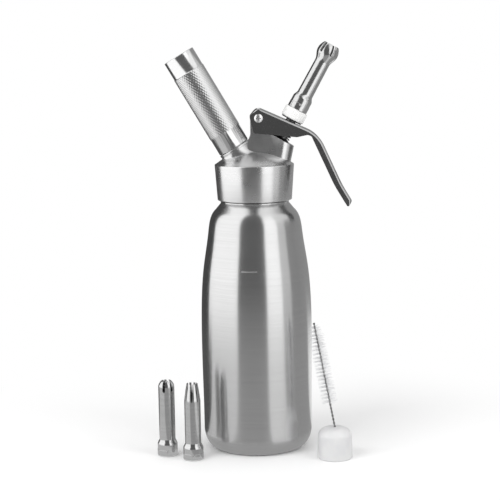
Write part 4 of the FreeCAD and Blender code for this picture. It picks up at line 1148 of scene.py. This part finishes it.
def make_lever_pin():
    dome = arc((0, pin_face - 4.6), pin_dome_radius, 64, 90, 10)
    outline = [(0, pin_back), (pin_radius, pin_back), (pin_radius, pin_face)]
    outline += [(pin_head_radius - 0.2, pin_face), (pin_head_radius, pin_face + 0.2),
                (pin_head_radius, pin_face + 0.55)]
    outline += [(r, h) for r, h in dome if r < pin_head_radius - 0.1]
    cuts = [bmesh.new(), bmesh.new()]
    for number, bar in enumerate(cuts):
        bmesh.ops.create_cube(bar, size=1.0)
        bmesh.ops.scale(bar, verts=bar.verts, vec=cross_arm)
        turn = Matrix.Rotation(math.radians(cross_turn + 90 * number), 4, "Z")
        moved(bar, Matrix.Translation((0, 0, pin_face + 1.8)) @ turn)
    cuts.append(rod(1.4, pin_back - 0.1, -2.7, 24))
    return moved(combined(turned(outline, 48, closed=False), cuts, "DIFFERENCE"), on_pin @ to_front)


set_up("domed_pin", make_lever_pin(), "valve_steel", "head", "lever_pin", finish="pin_steel_painted_highlight")

# %% [markdown]
# ## The spring that lifts the lever
# The spring stands round the stem, between the black bush and the stem's flange. It is one round wire
# wound four times.

# %% Spring
coil_radius = 6.4
coil_wire = 0.6
coil_turns = 4
coil_low, coil_high = 51.05, 61.215


def make_spring():
    bm = bmesh.new()
    bmesh.ops.create_circle(bm, cap_ends=True, segments=14, radius=coil_wire,
                            matrix=Matrix.Translation((coil_radius, 0, coil_low)) @ to_front)
    return moved(wound(bm, coil_turns, 40 * coil_turns, coil_high - coil_low), on_valve)


spring = set_up("return_spring", make_spring(), "valve_steel", "head", "valve_spring", finish="spring_steel")
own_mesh(spring)

# %% [markdown]
# ## The adapter under the nozzle
# A white moulded nut with slanting ribs screws onto the stem. The ribs come from a toothed circle that
# is drawn upwards in short steps, each turned a little further than the one before.

# %% Adapter
adapter_foot = 68.46
adapter_height = 9.2
adapter_radius = 10.25
adapter_top = adapter_foot + adapter_height
adapter_bore = ((4.5, 12.36), (3.6, 19))
nozzle_stub_radius = 5.9
nozzle_stub_top = 17.8
rib_count = 36
rib_depth = 0.16
rib_turn = 9.0
rib_rows = ((0.0, 0.93), (0.3, 0.97), (0.8, 1.0), (3.4, 1.0), (6.0, 1.0), (8.4, 1.0), (8.9, 0.97),
            (adapter_height, 0.93))


def make_ribs():
    """A toothed circle drawn upwards by rows of (height, share of the radius)."""
    bm = bmesh.new()
    bmesh.ops.create_circle(bm, cap_ends=False, segments=rib_count * 6, radius=adapter_radius)
    for corner in bm.verts:
        wave = 0.5 - 0.5 * math.cos(rib_count * math.atan2(corner.co.y, corner.co.x))
        corner.co *= 1 - rib_depth * wave ** 2 / adapter_radius
    low, share = rib_rows[0]
    bmesh.ops.scale(bm, verts=bm.verts, vec=(share, share, 1.0))
    edges = bm.edges[:]
    for height, size in rib_rows[1:]:
        drawn = bmesh.ops.extrude_edge_only(bm, edges=edges)["geom"]
        edges = [item for item in drawn if isinstance(item, bmesh.types.BMEdge)]
        corners = corners_in(drawn)
        turn_about_z(bm, math.radians(rib_turn) * (height - low) / adapter_height, corners)
        bmesh.ops.scale(bm, verts=corners, vec=(size / share, size / share, 1.0))
        bmesh.ops.translate(bm, verts=corners, vec=(0, 0, height - low))
        low, share = height, size
    return closed_up(bm)


def make_adapter():
    stub = turned([(0, 8), (nozzle_stub_radius, 8), (nozzle_stub_radius, nozzle_stub_top - 0.4),
                   (nozzle_stub_radius - 0.4, nozzle_stub_top), (0, nozzle_stub_top)], 48, closed=False)
    thread = ridge(nozzle_stub_radius, 0.6, 1.0, 0.5, 2.0, adapter_height + 2.4, 2.5)
    solid = combined(make_ribs(), [stub, thread])
    hollow = combined(solid, [stepped(-1, *adapter_bore)], "DIFFERENCE")
    return moved(hollow, on_valve @ Matrix.Translation((0, 0, adapter_foot)))


set_up("ribbed_adapter", make_adapter(), "white_plastic", "valve", "nozzle_adapter", sharp=40,
       flat_sided=True)

# %% [markdown]
# ## Three decorating nozzles
# Each nozzle is a thin turned tube over a wider bell, and only the end differs: a swelling tulip with
# slots, a dome with slots, and a crown of points that draws in. One function makes the tube from the
# outline of its end, and the slots are then cut by a ring of cutters that start beyond the middle.

# %% Nozzle bodies and their cutters
nozzle_wall = 0.8
tube = 7.0
tube_foot = 15.0
bell_radius = 8.9
bell_bore = 8.1
bell_shoulder = (8.76, 10.0)
cutter_reach = 9.0


def nozzle_outline(outside, inside):
    """The bell and the shoulder on both faces, with the given end between them."""
    bell = arc((bell_radius - 0.4, 0.4), 0.4, 270, 360, 4)
    bell += [(bell_radius, z) for z in np.linspace(0.9, 5.6, 12)] + [(bell_shoulder[0], 5.75), bell_shoulder]
    outer = bell + smooth_line([bell_shoulder, (tube, tube_foot)], (0, 1), (0, 1), 12)[1:] + outside
    under = smooth_line([(bell_bore, 9.6), (tube - nozzle_wall, tube_foot)], (0, 1), (0, 1), 12)
    return outer + inside[::-1] + under[::-1] + [(bell_bore, 0.3), (bell_bore + 0.2, 0.0)]


def slot_cutters(count, width, foot, start, turn, top_width=0.0, height=24.0):
    """A ring of upright cutters, round at the foot, or wedge-shaped where a top width is given."""
    bm = bmesh.new()
    for number in range(count):
        made = bmesh.ops.create_cube(bm, size=1.0)["verts"]
        bmesh.ops.scale(bm, verts=made, vec=(cutter_reach, width, height))
        bmesh.ops.translate(bm, verts=made, vec=(start + cutter_reach / 2, 0, foot + height / 2))
        if top_width:
            top = [v for v in made if v.co.z > foot + 1]
            bmesh.ops.scale(bm, verts=top, vec=(1, top_width / width, 1))
        else:
            edges = dict.fromkeys(e for v in made for e in v.link_edges)
            low = [e for e in edges if all(v.co.z < foot + 0.01 for v in e.verts)
                   and abs(e.verts[0].co.x - e.verts[1].co.x) > 1]
            made = bevelled(bm, low, width * 0.499, 8)["verts"] + [v for v in made if v.is_valid]
        angle = math.radians(-90 + turn + 360.0 * number / count)
        turn_about_z(bm, angle, list(dict.fromkeys(made)))
    return bm


def crimp():
    """The small hole at the front of the bell that keys the thread inside it."""
    return moved(rod(0.9, 7.2, 10.5, 24), Matrix.Translation((0, 0, 4.9)) @ to_front)


def cut_nozzle(outside, inside, cutters):
    shell = turned(nozzle_outline(outside, inside), steps=96)
    return combined(shell, [cutters, crimp()], "DIFFERENCE")


print("the nozzle's end starts at", tube_foot)

# %% The three nozzles
tulip_length = 63.0
standing_length = 66.8


def make_tulip_nozzle():
    neck, widest = tulip_length - 17.4, tulip_length - 9.6
    faces = []
    for inset in (0.0, nozzle_wall):
        points = [(tube - 0.3 - inset, neck), (9.2 - inset, widest), (6.7 - inset * 1.1, tulip_length)]
        faces.append(smooth_line(points, (0, 1), (-0.75, 1), 14))
    return cut_nozzle(*faces, slot_cutters(6, 2.9, widest, 4.2, 20.0))


def make_domed_nozzle():
    wall, top = nozzle_wall, standing_length
    outside = smooth_line([(tube, top - 5.95), (tube * 0.84, top - 2.31), (3.1, top)], (0, 1), (-1, 0.12), 9)
    inside = smooth_line([(tube - wall, top - 5.95), (tube * 0.84 - wall * 0.8, top - 2.31 - wall * 0.6),
                          (2.6, top - wall)], (0, 1), (-1, 0.12), 9)
    return cut_nozzle(outside, inside, slot_cutters(6, 2.3, top - 9.8, 2.4, -16.0))


def make_pointed_nozzle():
    wall, top = nozzle_wall, standing_length
    crown_foot, crown_radius = top - 15.6, 4.8
    share = np.linspace(0.0, 1.0, 13)
    outside = [(tube - (tube - crown_radius) * s ** 1.15, crown_foot + 15.4 * s) for s in share]
    inside = [(r - wall, z) for r, z in outside] + [(crown_radius - wall + 0.1, top)]
    cutters = slot_cutters(8, 0.7, crown_foot + 0.4, 2.6, -3.0, top_width=2.0, height=16.4)
    return cut_nozzle(outside + [(crown_radius - 0.1, top)], inside, cutters)


on_adapter = on_valve @ Matrix.Translation((0, 0, adapter_top + 0.05))
set_up("tulip_tip", moved(make_tulip_nozzle(), on_adapter), "nozzle_steel", "nozzle", "tulip_nozzle",
       sharp=30)
set_up("domed_tip", moved(make_domed_nozzle(), Matrix.Translation((-79.6, -31.0, 0))), "nozzle_steel",
       "straight_nozzle", "straight_nozzle", sharp=30)
set_up("pointed_tip", moved(make_pointed_nozzle(), Matrix.Translation((-56.6, -44.5, 0))), "nozzle_steel",
       "pointed_nozzle", "pointed_nozzle", sharp=30)

# %% [markdown]
# ## The cap and the brush
# The cap is soft moulded plastic with a round shoulder. The brush that stands in it has two wires that
# are twisted together, which comes from a small circle moved along a steep helix. Thin bristles are
# caught between the wires, so they stand out sideways in rows that follow the same twist.

# %% Cap
cap_place = (65.8, -46.5, 0.0)
cap_height = 27.0
cap_radius = 15.0
cap_wall = 1.5
brush_lean = -10.7
brush_sunk = 9.8
in_cap = leaned(brush_lean, (0, 0, cap_height))


def cap_side(inset):
    radius, top = cap_radius - inset, cap_height - inset
    side = [(radius, 0.5 if not inset else 0.0), (radius - 0.5, 19.0 - inset)]
    return side + smooth_line([(radius - 0.6, 21.0 - inset), (radius * 0.72, top - 1.6), (0, top)],
                              (-0.35, 1), (-1, 0), 10)


def make_cap():
    outline = cap_side(cap_wall)[::-1] + [(cap_radius - 0.5, 0.0)] + cap_side(0.0)
    shell = turned(outline, 96, closed=False)
    socket = moved(rod(2.9, -11, -1.0), in_cap)
    hole = moved(rod(0.9, -brush_sunk, 5), in_cap)
    return moved(combined(combined(shell, [socket]), [hole], "DIFFERENCE"), Matrix.Translation(cap_place))


set_up("soft_cap", make_cap(), "cap_plastic", "cap", "brush_cap")

# %% Brush wire and bristles
strand = 0.48
twist = 6.6
brush_length = 103.0
bristles_low = 31.5
bristles_high = 100.4
bristle_length = 7.25
taper_length = 9.0
taper = 3.0
bristle_rows = 46
bristles_in_row = 18
in_brush = Matrix.Translation(cap_place) @ in_cap @ Matrix.Translation((0, 0, -brush_sunk))


def make_wire():
    """One strand is wound, and the other is its copy on the far side of the axis."""
    wire = bmesh.new()
    bmesh.ops.create_circle(wire, cap_ends=True, segments=10, radius=strand,
                            matrix=Matrix.Translation((strand, 0, 0.1)))
    turns = (brush_length - 0.2) / twist
    wound(wire, turns, round(18 * turns), twist * turns)
    copied = bmesh.ops.duplicate(wire, geom=wire.verts[:] + wire.edges[:] + wire.faces[:])["geom"]
    turn_about_z(wire, math.pi, corners_in(copied))
    return moved(wire, in_brush)


def make_bristles(seed=5):
    """Thin three-sided cones. Each one starts in the wire and points out along the twist."""
    chance = random.Random(seed)
    bm = bmesh.new()
    count = bristle_rows * bristles_in_row
    for number in range(count):
        height = bristles_low + (bristles_high - bristles_low) * (number + chance.random()) / count
        near_top = max(0.0, (height - (bristles_high - taper_length)) / taper_length)
        length = (bristle_length - taper * near_top) * chance.uniform(0.9, 1.0)
        angle = math.tau * height / twist + math.pi * (number % 2) + chance.gauss(0, 0.5)
        tilt = math.pi / 2 + chance.gauss(0, 0.05)
        place = (Matrix.Translation((0, 0, height)) @ Matrix.Rotation(angle, 4, "Z")
                 @ Matrix.Rotation(tilt, 4, "Y") @ Matrix.Translation((0, 0, length / 2)))
        bmesh.ops.create_cone(bm, cap_ends=True, segments=3, radius1=0.13, radius2=0.09, depth=length,
                              matrix=place)
    return moved(bm, in_brush)


set_up("twisted_wire", make_wire(), "brush_wire_steel", "brush", "brush_wire")
set_up("bristles", make_bristles(), "bristle_nylon", "brush", "brush_bristles")
